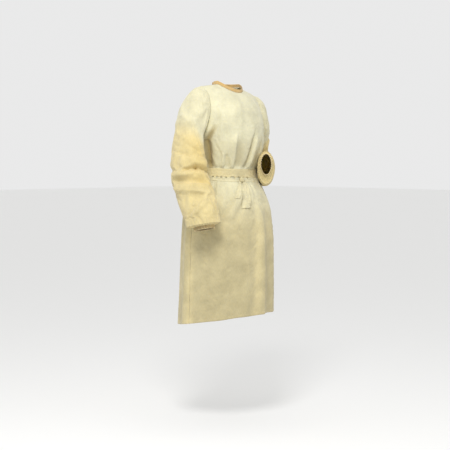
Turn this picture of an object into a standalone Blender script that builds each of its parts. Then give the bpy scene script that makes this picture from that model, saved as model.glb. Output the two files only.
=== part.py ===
"""A long-sleeved procedure gown that stands open in the shape it has when worn.

+Z is up, the front faces -Y and the wearer's left is +X. The origin is the middle of the neckline, level
with the sides of the neck. Lengths are metres and angles are degrees. A place on the body is an angle
round it (0 front, 90 left side, 180 back) and a level, which is the height below the neck.
"""

import math
from typing import NamedTuple

import bmesh
import bpy
import numpy as np

# Driving dimensions
CLOTH = 0.0012
SEAM_GAP = 0.0003
BODY_AXIS_Y = 0.012
ARMPIT_LEVEL = -0.235
ARMPIT_EASE = 0.25
TOP_LEVEL = 0.0
HEM_LEVEL = -0.950
HEM_FALL_BACK = 0.15
HEM_FALL_RIGHT = 0.03
HEM_SLOPE_TOP = -0.60
SHOULDER_TILT = 0.07
TILT_LOW, TILT_HIGH = -0.34, -0.10

BELT_TOP, BELT_LOW = -0.341, -0.377
BELT_THICK = 0.0014
BELT_GAP = 0.0005
WRAP_TOP, WRAP_LOW = -0.374, -0.392
FLARE_LEVELS = (-0.520, -0.485, -0.455, -0.430, -0.410, -0.392)
SKIRT_LOW_ROWS = 9
SKIRT_LOW_TOP = -0.560
WRAP_THICK = 0.0016
KNOT_ANGLE = -12.5
KNOT_LEVEL = -0.3820
KNOT_SIZE = (0.026, 0.012, 0.021)
TIE_END_THICK = 0.0012

FLAP_OVERLAP = 22.5
FLAP_LIFT = 0.0030
FLAP_LIFT_HEM = 0.007
FLAP_RAMP_START, FLAP_RAMP_END = 138.0, 156.0

NECK_SHARE = 0.5
NECK_OVERLAP = FLAP_OVERLAP / NECK_SHARE
BINDING_HEIGHT = 0.009
BINDING_THICK = 0.0016
NECK_TIE_WIDTH = 0.012
NECK_KNOT_SIZE = (0.020, 0.010, 0.016)

CUFF_LENGTH = 0.013
CUFF_THICK = 0.0018
CUFF_GATHERS = 12
GATHER_DEPTH = 0.0016
SLEEVE_CLEARANCE = 0.0035
BELT_CLEARANCE = 0.0085

# Resolution: columns round a half body, rows below and above the armpit, points round a sleeve
HALF_COLUMNS = 24
UPPER_ROWS = 12
SLEEVE_STEPS = 3


class Section(NamedTuple):
    """A level section of the body below the armpit: an oval with its own depth in front and behind."""

    level: float
    half_width: float
    front: float
    back: float


BODY_SECTIONS = (
    Section(level=HEM_LEVEL, half_width=0.213, front=0.177, back=0.171),
    Section(level=-0.840, half_width=0.210, front=0.182, back=0.160),
    Section(level=-0.740, half_width=0.207, front=0.184, back=0.153),
    Section(level=-0.660, half_width=0.204, front=0.184, back=0.149),
    Section(level=-0.590, half_width=0.199, front=0.182, back=0.146),
    Section(level=-0.530, half_width=0.190, front=0.176, back=0.147),
    Section(level=-0.490, half_width=0.181, front=0.168, back=0.146),
    Section(level=-0.448, half_width=0.164, front=0.153, back=0.137),
    Section(level=-0.412, half_width=0.149, front=0.131, back=0.123),
    Section(level=-0.392, half_width=0.141, front=0.114, back=0.110),
    Section(level=-0.341, half_width=0.137, front=0.107, back=0.104),
    Section(level=-0.315, half_width=0.146, front=0.119, back=0.112),
    Section(level=-0.280, half_width=0.155, front=0.128, back=0.117),
    Section(level=ARMPIT_LEVEL, half_width=0.166, front=0.133, back=0.121),
)


class YokeRow(NamedTuple):
    """A row of the body above the armpit, from the centre line to the armhole's edge."""

    level: float
    edge_x: float
    edge_y: float
    edge_z: float
    centre_y: float
    centre_z: float
    top_share: float


FRONT_YOKE = (
    YokeRow(level=-0.165, edge_x=0.152, edge_y=-0.034, edge_z=-0.170, centre_y=-0.121, centre_z=-0.165, top_share=0.2),
    YokeRow(level=-0.095, edge_x=0.144, edge_y=-0.042, edge_z=-0.104, centre_y=-0.103, centre_z=-0.100, top_share=0.5),
    YokeRow(level=-0.040, edge_x=0.138, edge_y=-0.018, edge_z=-0.050, centre_y=-0.074, centre_z=-0.055, top_share=0.8),
)
BACK_YOKE = (
    YokeRow(level=-0.165, edge_x=0.156, edge_y=0.068, edge_z=-0.170, centre_y=0.129, centre_z=-0.165, top_share=0.2),
    YokeRow(level=-0.095, edge_x=0.148, edge_y=0.080, edge_z=-0.100, centre_y=0.119, centre_z=-0.095, top_share=0.5),
    YokeRow(level=-0.040, edge_x=0.140, edge_y=0.056, edge_z=-0.046, centre_y=0.096, centre_z=-0.042, top_share=0.8),
)
SHOULDER_POINT = np.array((0.136, 0.016, -0.0235))
NECK_POINT = np.array((0.062, 0.006, -0.008))
NECK_FRONT = np.array((0.0, -0.050, -0.038))
NECK_BACK = np.array((0.0, 0.066, -0.010))


class Ring(NamedTuple):
    """A ring of a sleeve: its centre and the half-vectors to its outer side and to its front."""

    centre: tuple
    outer: tuple
    front: tuple


# The wearer's right sleeve hangs. Its rings are given on the +X side and mirrored.
RIGHT_RINGS = (
    Ring(centre=(0.1745, 0.0160, -0.1365), outer=(-0.0025, 0.0025, 0.0985), front=(0.000, -0.066, 0.004)),
    Ring(centre=(0.1940, 0.0170, -0.1640), outer=(0.0180, 0.0010, 0.0870), front=(0.004, -0.069, 0.000)),
    Ring(centre=(0.2080, 0.0140, -0.2035), outer=(0.0370, 0.0030, 0.0620), front=(0.003, -0.070, 0.000)),
    Ring(centre=(0.2165, 0.0080, -0.2560), outer=(0.0525, 0.0040, 0.0290), front=(0.002, -0.073, 0.004)),
    Ring(centre=(0.2230, 0.000, -0.3170), outer=(0.0610, 0.0040, 0.0080), front=(0.000, -0.076, 0.008)),
    Ring(centre=(0.2310, -0.021, -0.386), outer=(0.0630, 0.0060, 0.0035), front=(0.000, -0.080, 0.010)),
    Ring(centre=(0.2350, -0.054, -0.455), outer=(0.0600, 0.006, 0.000), front=(0.000, -0.081, 0.012)),
    Ring(centre=(0.2370, -0.083, -0.515), outer=(0.0560, 0.004, 0.000), front=(0.000, -0.078, 0.013)),
    Ring(centre=(0.2370, -0.099, -0.560), outer=(0.0540, 0.003, 0.000), front=(0.000, -0.073, 0.014)),
)
RIGHT_CUFF = Ring(centre=(0.2370, -0.101, -0.564), outer=(0.0340, 0.000, 0.000), front=(0.000, -0.045, 0.009))
RIGHT_CUFF_WAY = (0.01, -0.18, -0.98)

# The wearer's left sleeve is bent: its forearm comes across the front, and its cloth hangs below the arm.
LEFT_RINGS = (
    Ring(centre=(0.1745, 0.0175, -0.1355), outer=(-0.0025, 0.0035, 0.0995), front=(0.000, -0.065, 0.004)),
    Ring(centre=(0.1920, 0.0260, -0.1620), outer=(0.0160, 0.0000, 0.0880), front=(0.004, -0.062, 0.000)),
    Ring(centre=(0.2022, 0.0345, -0.2030), outer=(0.0302, 0.0015, 0.0630), front=(0.004, -0.060, 0.004)),
    Ring(centre=(0.2065, 0.0440, -0.2625), outer=(0.0375, 0.0060, 0.0225), front=(0.004, -0.058, 0.014)),
    Ring(centre=(0.2140, 0.040, -0.330), outer=(0.0360, -0.014, 0.000), front=(-0.012, -0.046, 0.050)),
    Ring(centre=(0.1910, -0.006, -0.345), outer=(0.0290, -0.026, 0.000), front=(-0.006, -0.010, 0.066)),
    Ring(centre=(0.1380, -0.068, -0.344), outer=(0.0260, -0.024, 0.000), front=(0.000, 0.000, 0.067)),
    Ring(centre=(0.0920, -0.118, -0.339), outer=(0.0255, -0.024, 0.000), front=(0.000, 0.000, 0.068)),
    Ring(centre=(0.0660, -0.143, -0.337), outer=(0.0240, -0.0225, 0.000), front=(0.000, 0.000, 0.066)),
)
LEFT_CUFF = Ring(centre=(0.0600, -0.150, -0.326), outer=(0.0165, -0.0155, 0.000), front=(0.000, 0.000, 0.043))
LEFT_CUFF_WAY = (-0.70, -0.70, 0.12)


class Fold(NamedTuple):
    """A soft ridge (height above 0) or trough (below 0) between two places on a surface."""

    from_angle: float
    from_along: float
    to_angle: float
    to_along: float
    width: float
    height: float


BODY_FOLDS = (
    Fold(from_angle=9, from_along=-0.56, to_angle=8, to_along=-0.95, width=0.014, height=0.007),
    Fold(from_angle=17, from_along=-0.54, to_angle=19, to_along=-0.95, width=0.018, height=-0.006),
    Fold(from_angle=5, from_along=-0.200, to_angle=-4, to_along=-0.325, width=0.013, height=-0.006),
    Fold(from_angle=14, from_along=-0.205, to_angle=5, to_along=-0.320, width=0.013, height=0.006),
    Fold(from_angle=-29, from_along=-0.235, to_angle=-31, to_along=-0.325, width=0.012, height=-0.005),
    Fold(from_angle=-21, from_along=-0.250, to_angle=-22, to_along=-0.325, width=0.014, height=0.003),
    Fold(from_angle=-43, from_along=-0.285, to_angle=-45, to_along=-0.330, width=0.011, height=0.004),
    Fold(from_angle=-23, from_along=-0.440, to_angle=-41, to_along=-0.525, width=0.016, height=0.005),
    Fold(from_angle=-8, from_along=-0.445, to_angle=-12, to_along=-0.560, width=0.018, height=-0.004),
    Fold(from_angle=-52, from_along=-0.420, to_angle=-60, to_along=-0.700, width=0.022, height=0.004),
    Fold(from_angle=-30, from_along=-0.620, to_angle=-28, to_along=-0.950, width=0.030, height=-0.004),
    Fold(from_angle=-98, from_along=-0.500, to_angle=-97, to_along=-0.950, width=0.022, height=0.007),
    Fold(from_angle=-86, from_along=-0.560, to_angle=-84, to_along=-0.950, width=0.024, height=-0.006),
    Fold(from_angle=48, from_along=-0.450, to_angle=44, to_along=-0.950, width=0.028, height=-0.005),
    Fold(from_angle=66, from_along=-0.430, to_angle=70, to_along=-0.900, width=0.024, height=0.006),
    Fold(from_angle=104, from_along=-0.430, to_angle=108, to_along=-0.950, width=0.026, height=-0.007),
    Fold(from_angle=126, from_along=-0.440, to_angle=131, to_along=-0.950, width=0.024, height=0.007),
    Fold(from_angle=213, from_along=-0.430, to_angle=216, to_along=-0.900, width=0.028, height=-0.006),
    Fold(from_angle=234, from_along=-0.440, to_angle=231, to_along=-0.950, width=0.024, height=0.008),
    Fold(from_angle=150, from_along=-0.205, to_angle=138, to_along=-0.325, width=0.015, height=-0.005),
    Fold(from_angle=214, from_along=-0.225, to_angle=225, to_along=-0.325, width=0.014, height=0.005),
    Fold(from_angle=236, from_along=-0.240, to_angle=238, to_along=-0.325, width=0.014, height=-0.004),
    Fold(from_angle=116, from_along=-0.255, to_angle=113, to_along=-0.325, width=0.013, height=0.004),
)
RIGHT_FOLDS = (
    Fold(from_angle=20, from_along=5.40, to_angle=130, to_along=5.45, width=0.013, height=-0.006),
    Fold(from_angle=10, from_along=5.75, to_angle=110, to_along=5.80, width=0.012, height=0.004),
    Fold(from_angle=0, from_along=6.25, to_angle=82, to_along=6.65, width=0.014, height=0.004),
    Fold(from_angle=25, from_along=6.95, to_angle=80, to_along=7.05, width=0.018, height=-0.004),
    Fold(from_angle=84, from_along=6.90, to_angle=48, to_along=7.80, width=0.013, height=0.004),
    Fold(from_angle=285, from_along=5.30, to_angle=350, to_along=5.60, width=0.014, height=-0.004),
    Fold(from_angle=200, from_along=5.40, to_angle=290, to_along=6.10, width=0.015, height=0.005),
)
LEFT_FOLDS = (
    Fold(from_angle=120, from_along=4.70, to_angle=40, to_along=5.30, width=0.014, height=-0.006),
    Fold(from_angle=330, from_along=5.10, to_angle=50, to_along=5.70, width=0.014, height=0.004),
    Fold(from_angle=280, from_along=6.20, to_angle=10, to_along=6.60, width=0.014, height=-0.004),
    Fold(from_angle=250, from_along=7.10, to_angle=330, to_along=7.50, width=0.014, height=0.004),
    Fold(from_angle=20, from_along=3.10, to_angle=100, to_along=3.60, width=0.016, height=-0.004),
)


def smooth(value):
    """A soft step from 0 to 1."""
    value = np.clip(value, 0.0, 1.0)
    return value * value * (3 - 2 * value)


def unit(vectors):
    """The vectors at length 1."""
    return vectors / np.maximum(np.linalg.norm(vectors, axis=-1, keepdims=True), 1e-12)


def spline(knots, values, at, eased=None):
    """A smooth curve through values (one row a knot), read at one place for each column.

    At the knot eased the slope is a share of that of the stretch before it alone.
    """
    knots = np.asarray(knots, float)
    steps = np.diff(knots)[:, None, None]
    slopes = np.diff(values, axis=0) / steps
    tangents = np.empty_like(values)
    tangents[0], tangents[-1] = slopes[0], slopes[-1]
    tangents[1:-1] = (slopes[1:] * steps[:-1] + slopes[:-1] * steps[1:]) / (steps[1:] + steps[:-1])
    if eased is not None:
        tangents[eased] = slopes[eased - 1] * ARMPIT_EASE
    index = np.clip(np.searchsorted(knots, at, side="right") - 1, 0, len(knots) - 2)
    columns = np.arange(values.shape[1])
    step = steps[index, 0]
    share = ((at - knots[index]) / step[:, 0])[:, None]
    start, end = values[index, columns], values[index + 1, columns]
    leave, arrive = tangents[index, columns] * step, tangents[index + 1, columns] * step
    return (
        start * (1 + 2 * share) * (1 - share) ** 2
        + leave * share * (1 - share) ** 2
        + end * share**2 * (3 - 2 * share)
        + arrive * share**2 * (share - 1)
    )


def section_points(section, angle):
    """Points of a level section at each angle. Towards the hem it falls to the back and to the right."""
    turn = np.radians(angle)
    x = section.half_width * np.sin(turn)
    y = -np.where(np.cos(turn) > 0, section.front, section.back) * np.cos(turn)
    slope = smooth((HEM_SLOPE_TOP - section.level) / (HEM_SLOPE_TOP - HEM_LEVEL))
    fall = (HEM_FALL_RIGHT * x - HEM_FALL_BACK * y) * slope
    return np.stack([x, BODY_AXIS_Y + y, section.level + fall], axis=-1)


def across(angle):
    """How far across a panel each angle is: 0 at its centre line, 1 or -1 at its side."""
    return np.degrees(np.arcsin(np.clip(np.sin(np.radians(angle)), -1, 1))) / 90


def top_share_x(share):
    """The share of the shoulder's half-width along the top edge, where the neckline takes the middle."""
    neck = NECK_POINT[0] / SHOULDER_POINT[0]
    inside = neck * np.sin(np.radians(90 * np.clip(share / NECK_SHARE, -1, 1)))
    beyond = (1 - neck) * np.clip((np.abs(share) - NECK_SHARE) / (1 - NECK_SHARE), 0, 1)
    return inside + np.sign(share) * beyond


def yoke_points(row, angle):
    """Points of a row above the armpit at each angle."""
    share = across(angle)
    middle = np.cos(np.radians(90 * share))
    spread = (1 - row.top_share) * np.sin(np.radians(90 * share)) + row.top_share * top_share_x(share)
    return np.stack(
        [
            row.edge_x * spread,
            row.edge_y + (row.centre_y - row.edge_y) * middle,
            row.edge_z + (row.centre_z - row.edge_z) * middle**2,
        ],
        axis=-1,
    )


def top_points(angle, front):
    """Points of the top edge: the neckline in the middle and a shoulder seam on each side."""
    share = across(angle)
    centre = NECK_FRONT if front else NECK_BACK
    middle = np.cos(np.radians(90 * np.clip(share / NECK_SHARE, -1, 1)))
    seam = np.clip((np.abs(share) - NECK_SHARE) / (1 - NECK_SHARE), 0, 1)
    y = NECK_POINT[1] + (centre[1] - NECK_POINT[1]) * middle + (SHOULDER_POINT[1] - NECK_POINT[1]) * seam
    z = NECK_POINT[2] + (centre[2] - NECK_POINT[2]) * middle**2 + (SHOULDER_POINT[2] - NECK_POINT[2]) * seam
    return np.stack([SHOULDER_POINT[0] * top_share_x(share), y, z], axis=-1)


def tilted(points):
    """The points with the shoulders tilted: the left one stands lower than the right one."""
    moved = points.copy()
    share = smooth((points[..., 2] - TILT_LOW) / (TILT_HIGH - TILT_LOW))
    moved[..., 2] -= SHOULDER_TILT * points[..., 0] * share
    return moved


def body_plain(angle, level, front):
    """The smooth body at each angle and level, before its tilt and its folds."""
    rows = FRONT_YOKE if front else BACK_YOKE
    knots = [s.level for s in BODY_SECTIONS] + [r.level for r in rows] + [TOP_LEVEL]
    values = [section_points(s, angle) for s in BODY_SECTIONS]
    values += [yoke_points(r, angle) for r in rows]
    values.append(top_points(angle, front))
    return spline(knots, np.array(values), level, eased=len(BODY_SECTIONS) - 1)


def fold_heights(folds, angle, along, radius, pitch):
    """The summed height of the folds at each place.

    An angle counts as its length at the radius, and one step along as the pitch.
    """
    height = np.zeros_like(along, dtype=float)
    for fold in folds:
        span = (fold.to_angle - fold.from_angle + 180) % 360 - 180
        run = np.array((math.radians(span) * radius, (fold.to_along - fold.from_along) * pitch))
        turn = (angle - fold.from_angle - span / 2 + 180) % 360 - 180 + span / 2
        place = np.stack([np.radians(turn) * radius, (along - fold.from_along) * pitch], axis=-1)
        share = np.clip(place @ run / (run @ run), -0.25, 1.25)
        away = np.linalg.norm(place - share[..., None] * run, axis=-1)
        ends = smooth((share + 0.25) / 0.35) * smooth((1.25 - share) / 0.35)
        height += fold.height * np.exp(-((away / fold.width) ** 2)) * ends
    return height


def body_relief(angle, level):
    """The height of the body's folds, fading out at the armholes, shoulders and neckline."""
    height = fold_heights(BODY_FOLDS, angle, level, radius=0.15, pitch=1.0)
    edge = 1 - np.abs(across(angle))
    above = smooth((level - ARMPIT_LEVEL + 0.03) / 0.03)
    fade = 1 - above * (1 - smooth(edge / 0.15))
    return height * fade * smooth((TOP_LEVEL - level) / 0.05)


def grid_normals(surface, angle, along, sign=1.0):
    """Outward directions of a surface given as a function of angle and place along it."""
    turn, step = 0.5, 0.0015
    down = surface(angle, along + step) - surface(angle, along - step)
    round_it = surface(angle + turn, along) - surface(angle - turn, along)
    return unit(np.cross(round_it, down)) * sign


def body_surface(angle, level, front):
    """(points, outward directions) of the body with its folds."""

    def base(a, v):
        return tilted(body_plain(a, v, front))

    low, high = (-90.0, 90.0) if front else (90.0, 270.0)
    inside_angle = np.clip(angle, low + 0.5, high - 0.5)
    inside_level = np.clip(level, HEM_LEVEL + 0.0015, TOP_LEVEL - 0.0015)
    normals = grid_normals(base, inside_angle, inside_level)
    return base(angle, level) + normals * body_relief(angle, level)[..., None], normals


def flap_lift(angle, level):
    """How far the left back panel stands off where it laps over the right one."""
    lap = smooth((angle - FLAP_RAMP_START) / (FLAP_RAMP_END - FLAP_RAMP_START))
    loose = smooth((angle - 180) / FLAP_OVERLAP) * smooth((BELT_LOW - level) / 0.4)
    return FLAP_LIFT * lap + FLAP_LIFT_HEM * loose


def lifted(points, normals, angle, level):
    """The points of the left back panel where it laps: moved out level."""
    return points + unit(normals * np.array((1, 1, 0))) * flap_lift(angle, level)[:, None]


def as_grid(angles, levels):
    """Every angle at every level, as two flat arrays, with the grid's shape."""
    level_grid, angle_grid = np.meshgrid(levels, angles, indexing="ij")
    return angle_grid.ravel(), level_grid.ravel(), (len(levels), len(angles), 3)


def body_grid(angles, levels, front, lapped=False):
    """A panel's grid of points and directions."""
    angle, level, shape = as_grid(angles, levels)
    points, normals = body_surface(angle, level, front)
    if lapped:
        points = lifted(points, normals, angle, level)
    return points.reshape(shape), normals.reshape(shape)


def armhole_points(ring_angle):
    """The armhole's edge on the +X side at each angle of the sleeve: 0 top, 90 front, 180 armpit."""
    level = ARMPIT_LEVEL * np.where(ring_angle <= 180, ring_angle, 360 - ring_angle) / 180
    side = np.full_like(level, 90.0)
    ahead = body_plain(side, level, front=True)
    behind = body_plain(side, level, front=False)
    return np.where((ring_angle <= 180)[:, None], ahead, behind)


def ring_points(ring, ring_angle):
    """Points of an oval sleeve ring at each angle."""
    turn = np.radians(ring_angle)[:, None]
    return np.array(ring.centre) + np.array(ring.outer) * np.cos(turn) + np.array(ring.front) * np.sin(turn)


def sleeve_base(rings, ring_angle, along):
    """The smooth sleeve. Along is 0 at the armhole and grows by 1 a ring."""
    wrapped = ring_angle % 360
    values = [armhole_points(wrapped)] + [ring_points(r, wrapped) for r in rings]
    return spline(range(len(values)), np.array(values), along)


def push_clear_of_body(points):
    """Moves the points that would reach into the body or its belt out to just clear of it."""
    levels = [s.level for s in BODY_SECTIONS]
    z = points[..., 2]
    side = np.interp(z, levels, [s.half_width for s in BODY_SECTIONS])
    front = np.interp(z, levels, [s.front for s in BODY_SECTIONS])
    back = np.interp(z, levels, [s.back for s in BODY_SECTIONS])
    x, y = points[..., 0], points[..., 1] - BODY_AXIS_Y
    depth = np.where(y < 0, front, back)
    reach = np.sqrt((x / side) ** 2 + (y / depth) ** 2)
    belt = smooth(1.6 - np.abs(z - (BELT_TOP + WRAP_LOW) / 2) / 0.03)
    clearance = SLEEVE_CLEARANCE + (BELT_CLEARANCE - SLEEVE_CLEARANCE) * belt
    radius = np.hypot(x, y)
    wanted = 1 + clearance / np.maximum(radius / np.maximum(reach, 1e-6), 1e-6)
    scale = np.where((reach < wanted) & (z < ARMPIT_LEVEL), wanted / np.maximum(reach, 1e-6), 1.0)
    moved = points.copy()
    moved[..., 0] = x * scale
    moved[..., 1] = y * scale + BODY_AXIS_Y
    return moved


def sleeve_grid(rings, folds, side, count, steps):
    """The grid of a sleeve, from the armhole to the last ring, and its directions. Side is 1 left, -1 right."""
    ring_angles = np.arange(count) * 360 / count
    along = np.linspace(0, len(rings), len(rings) * steps + 1)
    angle, place, shape = as_grid(ring_angles, along)

    def base(a, v):
        return sleeve_base(rings, a, v)

    normals = grid_normals(base, angle, np.clip(place, 0.002, len(rings) - 0.002))
    height = fold_heights(folds, angle, place, radius=0.065, pitch=0.062) * smooth(place / 0.8)
    points = push_clear_of_body(base(angle, place) + normals * height[:, None])
    mirror = np.array((side, 1, 1))
    return tilted(points * mirror).reshape(shape), (normals * mirror).reshape(shape)


def cuff_edge(cuff, count):
    """The gathered end of a sleeve on the +X side, and the ways out from its middle."""
    ring_angles = np.arange(count) * 360 / count
    gathers = GATHER_DEPTH * np.cos(np.radians(ring_angles * CUFF_GATHERS))[:, None]
    target = ring_points(cuff, ring_angles)
    outward = unit(target - np.array(cuff.centre))
    return target + outward * gathers, outward


def add_material(name, colour, roughness):
    """A cloth material."""
    material = bpy.data.materials.new(name)
    material.use_nodes = True
    shader = material.node_tree.nodes["Principled BSDF"]
    shader.inputs["Base Color"].default_value = (*colour, 1.0)
    shader.inputs["Roughness"].default_value = roughness
    shader.inputs["Metallic"].default_value = 0.0
    return material


def add_wall(name, outside, inside, material, closed=False):
    """One closed solid between two grids of points. A closed grid joins its last column to its first."""
    rows, columns = outside.shape[:2]
    mesh = bmesh.new()
    shells = [
        [[mesh.verts.new(point) for point in row] for row in shell] for shell in (outside, inside)
    ]
    spans = range(columns if closed else columns - 1)

    def quad(a, b, c, d):
        mesh.faces.new((a, b, c, d))

    for shell in shells:
        for r in range(rows - 1):
            for c in spans:
                n = (c + 1) % columns
                quad(shell[r][c], shell[r][n], shell[r + 1][n], shell[r + 1][c])
    out, inn = shells
    for r in (0, rows - 1):
        for c in spans:
            n = (c + 1) % columns
            quad(out[r][c], out[r][n], inn[r][n], inn[r][c])
    if not closed:
        for c in (0, columns - 1):
            for r in range(rows - 1):
                quad(out[r][c], out[r + 1][c], inn[r + 1][c], inn[r][c])
    bmesh.ops.recalc_face_normals(mesh, faces=mesh.faces)
    data = bpy.data.meshes.new(name)
    mesh.to_mesh(data)
    mesh.free()
    data.shade_smooth()
    data.materials.append(material)
    item = bpy.data.objects.new(name, data)
    bpy.context.scene.collection.objects.link(item)
    return item


def weld_directions(grids):
    """Gives points that several pieces share one common direction, so that their walls meet in a mitre."""
    total = {}
    for points, normals in grids:
        for point, normal in zip(points.reshape(-1, 3), normals.reshape(-1, 3)):
            key = tuple(np.round(point, 6))
            total[key] = total.get(key, 0) + normal
    welded = []
    for points, normals in grids:
        shared = np.array([total[tuple(np.round(p, 6))] for p in points.reshape(-1, 3)])
        welded.append(unit(shared).reshape(normals.shape))
    return welded


def draw_in(points, share=0.55, first_row=False, last_row=False, first_column=False, last_column=False):
    """Pulls the named edges in by a share of the seam gap, towards the next row or column of the piece."""
    moved = points.copy()
    if first_row:
        moved[0] += unit(points[1] - points[0]) * SEAM_GAP * share
    if last_row:
        moved[-1] += unit(points[-2] - points[-1]) * SEAM_GAP * share
    if first_column:
        moved[:, 0] += unit(points[:, 1] - points[:, 0]) * SEAM_GAP * share
    if last_column:
        moved[:, -1] += unit(points[:, -2] - points[:, -1]) * SEAM_GAP * share
    return moved


def body_levels():
    """The levels of the body's rows, with one on each edge of the belt and closer ones in the flare below it."""
    skirt = np.linspace(HEM_LEVEL, SKIRT_LOW_TOP, SKIRT_LOW_ROWS)
    waist = (*FLARE_LEVELS, BELT_LOW, (BELT_LOW + BELT_TOP) / 2, BELT_TOP)
    chest = np.linspace(BELT_TOP, ARMPIT_LEVEL, 5)[1:]
    yoke = np.linspace(ARMPIT_LEVEL, TOP_LEVEL, UPPER_ROWS + 1)[1:]
    return np.concatenate([skirt, waist, chest, yoke])


def add_cloth(material):
    """The front, the two backs and the two sleeves, mitred where they are sewn together."""
    levels = body_levels()
    half = 180 / HALF_COLUMNS
    front = body_grid(np.linspace(-90, 90, HALF_COLUMNS + 1), levels, front=True)
    left = body_grid(np.arange(90, 180 + FLAP_OVERLAP + 0.1, half), levels, front=False, lapped=True)
    right = body_grid(np.arange(180 - FLAP_OVERLAP, 270.1, half), levels, front=False)
    sleeves = [
        sleeve_grid(LEFT_RINGS, LEFT_FOLDS, 1, 2 * UPPER_ROWS, SLEEVE_STEPS),
        sleeve_grid(RIGHT_RINGS, RIGHT_FOLDS, -1, 2 * UPPER_ROWS, SLEEVE_STEPS),
    ]
    grids = [front, left, right, *sleeves]
    directions = weld_directions(grids)
    edges = (
        {"last_row": True, "first_column": True, "last_column": True},
        {"last_row": True, "first_column": True},
        {"last_row": True, "last_column": True},
    )
    names = ("front_panel", "back_panel_left", "back_panel_right")
    for name, (points, _), direction, drawn in zip(names, grids[:3], directions[:3], edges):
        outside = draw_in(points, **drawn)
        add_wall(name, outside, outside - direction * CLOTH, material)
    add_sleeve("sleeve_left", sleeves[0][0], directions[3], LEFT_CUFF, LEFT_CUFF_WAY, 1, material)
    add_sleeve("sleeve_right", sleeves[1][0], directions[4], RIGHT_CUFF, RIGHT_CUFF_WAY, -1, material)


def add_sleeve(name, points, direction, cuff, way, side, material):
    """A sleeve from the armhole to its end, which turns in to the gathered cuff."""
    mirror = np.array((side, 1, 1))
    forward = unit(np.array(way, float) * mirror)
    edge, outward = cuff_edge(cuff, points.shape[1])
    edge, outward = edge * mirror, outward * mirror
    halfway = points[-1] + 0.45 * (edge - points[-1]) + forward * 0.004
    outside = draw_in(np.concatenate([points, [halfway, edge]]), share=1.4, first_row=True)
    ends = [unit(outward * 0.35 + forward), unit(outward * 0.8 + forward)]
    inside = outside - np.concatenate([direction, ends]) * CLOTH
    add_wall(name, outside, inside, material, closed=True)


def add_cuff(name, cuff, way, side, material):
    """The elastic band at the end of a sleeve, gathered with it."""
    edge, outward = cuff_edge(cuff, 2 * UPPER_ROWS)
    forward = unit(np.array(way, float))
    near = edge + forward * (CLOTH * 0.3 + SEAM_GAP)
    far = near + forward * CUFF_LENGTH - outward * 0.001
    rows = np.array([near, (near + far) / 2, far])
    mirror = np.array((side, 1, 1))
    add_wall(name, rows * mirror, (rows - outward * CUFF_THICK) * mirror, material, closed=True)


def band_on_body(name, angles, levels, offset, thick, material, closed):
    """A band of cloth that lies on the body's points, moved out."""
    angle, level, shape = as_grid(angles, levels)
    wrapped = angle % 360
    is_front = (wrapped <= 90) | (wrapped >= 270)
    signed = np.where(wrapped >= 270, wrapped - 360, wrapped)
    ahead, ahead_way = body_surface(np.clip(np.where(is_front, signed, 0), -90, 90), level, front=True)
    behind, behind_way = body_surface(np.where(is_front, 180, wrapped), level, front=False)
    over_flap = (wrapped <= 180 + FLAP_OVERLAP + 0.1)[:, None]
    behind = np.where(over_flap, lifted(behind, behind_way, wrapped, level), behind)
    way = np.where(is_front[:, None], ahead_way, behind_way)
    points = np.where(is_front[:, None], ahead, behind) + way * offset
    inside, way = points.reshape(shape), way.reshape(shape)
    add_wall(name, inside + way * thick, inside, material, closed=closed)


def add_belt(material):
    """The belt that goes right round, and the narrower turn of the tie over its lower edge."""
    round_body = np.arange(0, 360, 180 / HALF_COLUMNS)
    belt_levels = [BELT_LOW, (BELT_LOW + BELT_TOP) / 2, BELT_TOP]
    band_on_body("belt", round_body, belt_levels, BELT_GAP, BELT_THICK, material, closed=True)
    wrap_offset = BELT_GAP + BELT_THICK + SEAM_GAP * 1.5
    band_on_body("tie_wrap", round_body, [WRAP_LOW, WRAP_TOP], wrap_offset, WRAP_THICK, material, closed=True)


def add_block(name, centre, outward, size, material):
    """A small rounded knot that faces outward."""
    width, depth, height = size
    mesh = bmesh.new()
    bmesh.ops.create_cube(mesh, size=1.0)
    bmesh.ops.scale(mesh, vec=(width, depth, height), verts=mesh.verts)
    bmesh.ops.bevel(
        mesh, geom=list(mesh.edges), offset=min(size) * 0.35, segments=2, profile=0.5, affect="EDGES"
    )
    data = bpy.data.meshes.new(name)
    mesh.to_mesh(data)
    mesh.free()
    data.shade_smooth()
    data.materials.append(material)
    item = bpy.data.objects.new(name, data)
    item.location = centre + outward * (depth / 2)
    item.rotation_euler = (0, 0, math.atan2(outward[0], -outward[1]))
    bpy.context.scene.collection.objects.link(item)
    return item


def strip_on_body(name, path, thick, material, front):
    """A flat tie end that hangs on the body along a path of (angle, level, distance off the body, width)."""
    places = np.array(path, float)
    share = np.linspace(0, len(places) - 1, 9)
    angle, level, offset, width = (np.interp(share, range(len(places)), column) for column in places.T)
    across_it = np.linspace(0.5, -0.5, 5)
    middle, _ = body_surface(angle, level, front)
    radius = np.hypot(middle[:, 0], middle[:, 1] - BODY_AXIS_Y)
    angles = angle[:, None] + np.degrees(width / radius)[:, None] * across_it
    levels = np.repeat(level[:, None], 5, axis=1)
    points, way = body_surface(angles.ravel(), levels.ravel(), front)
    if not front:
        points = lifted(points, way, angles.ravel(), levels.ravel())
    points, way = points.reshape(9, 5, 3), way.reshape(9, 5, 3)
    inside = points + way * offset[:, None, None]
    add_wall(name, inside + way * thick, inside, material)


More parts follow.
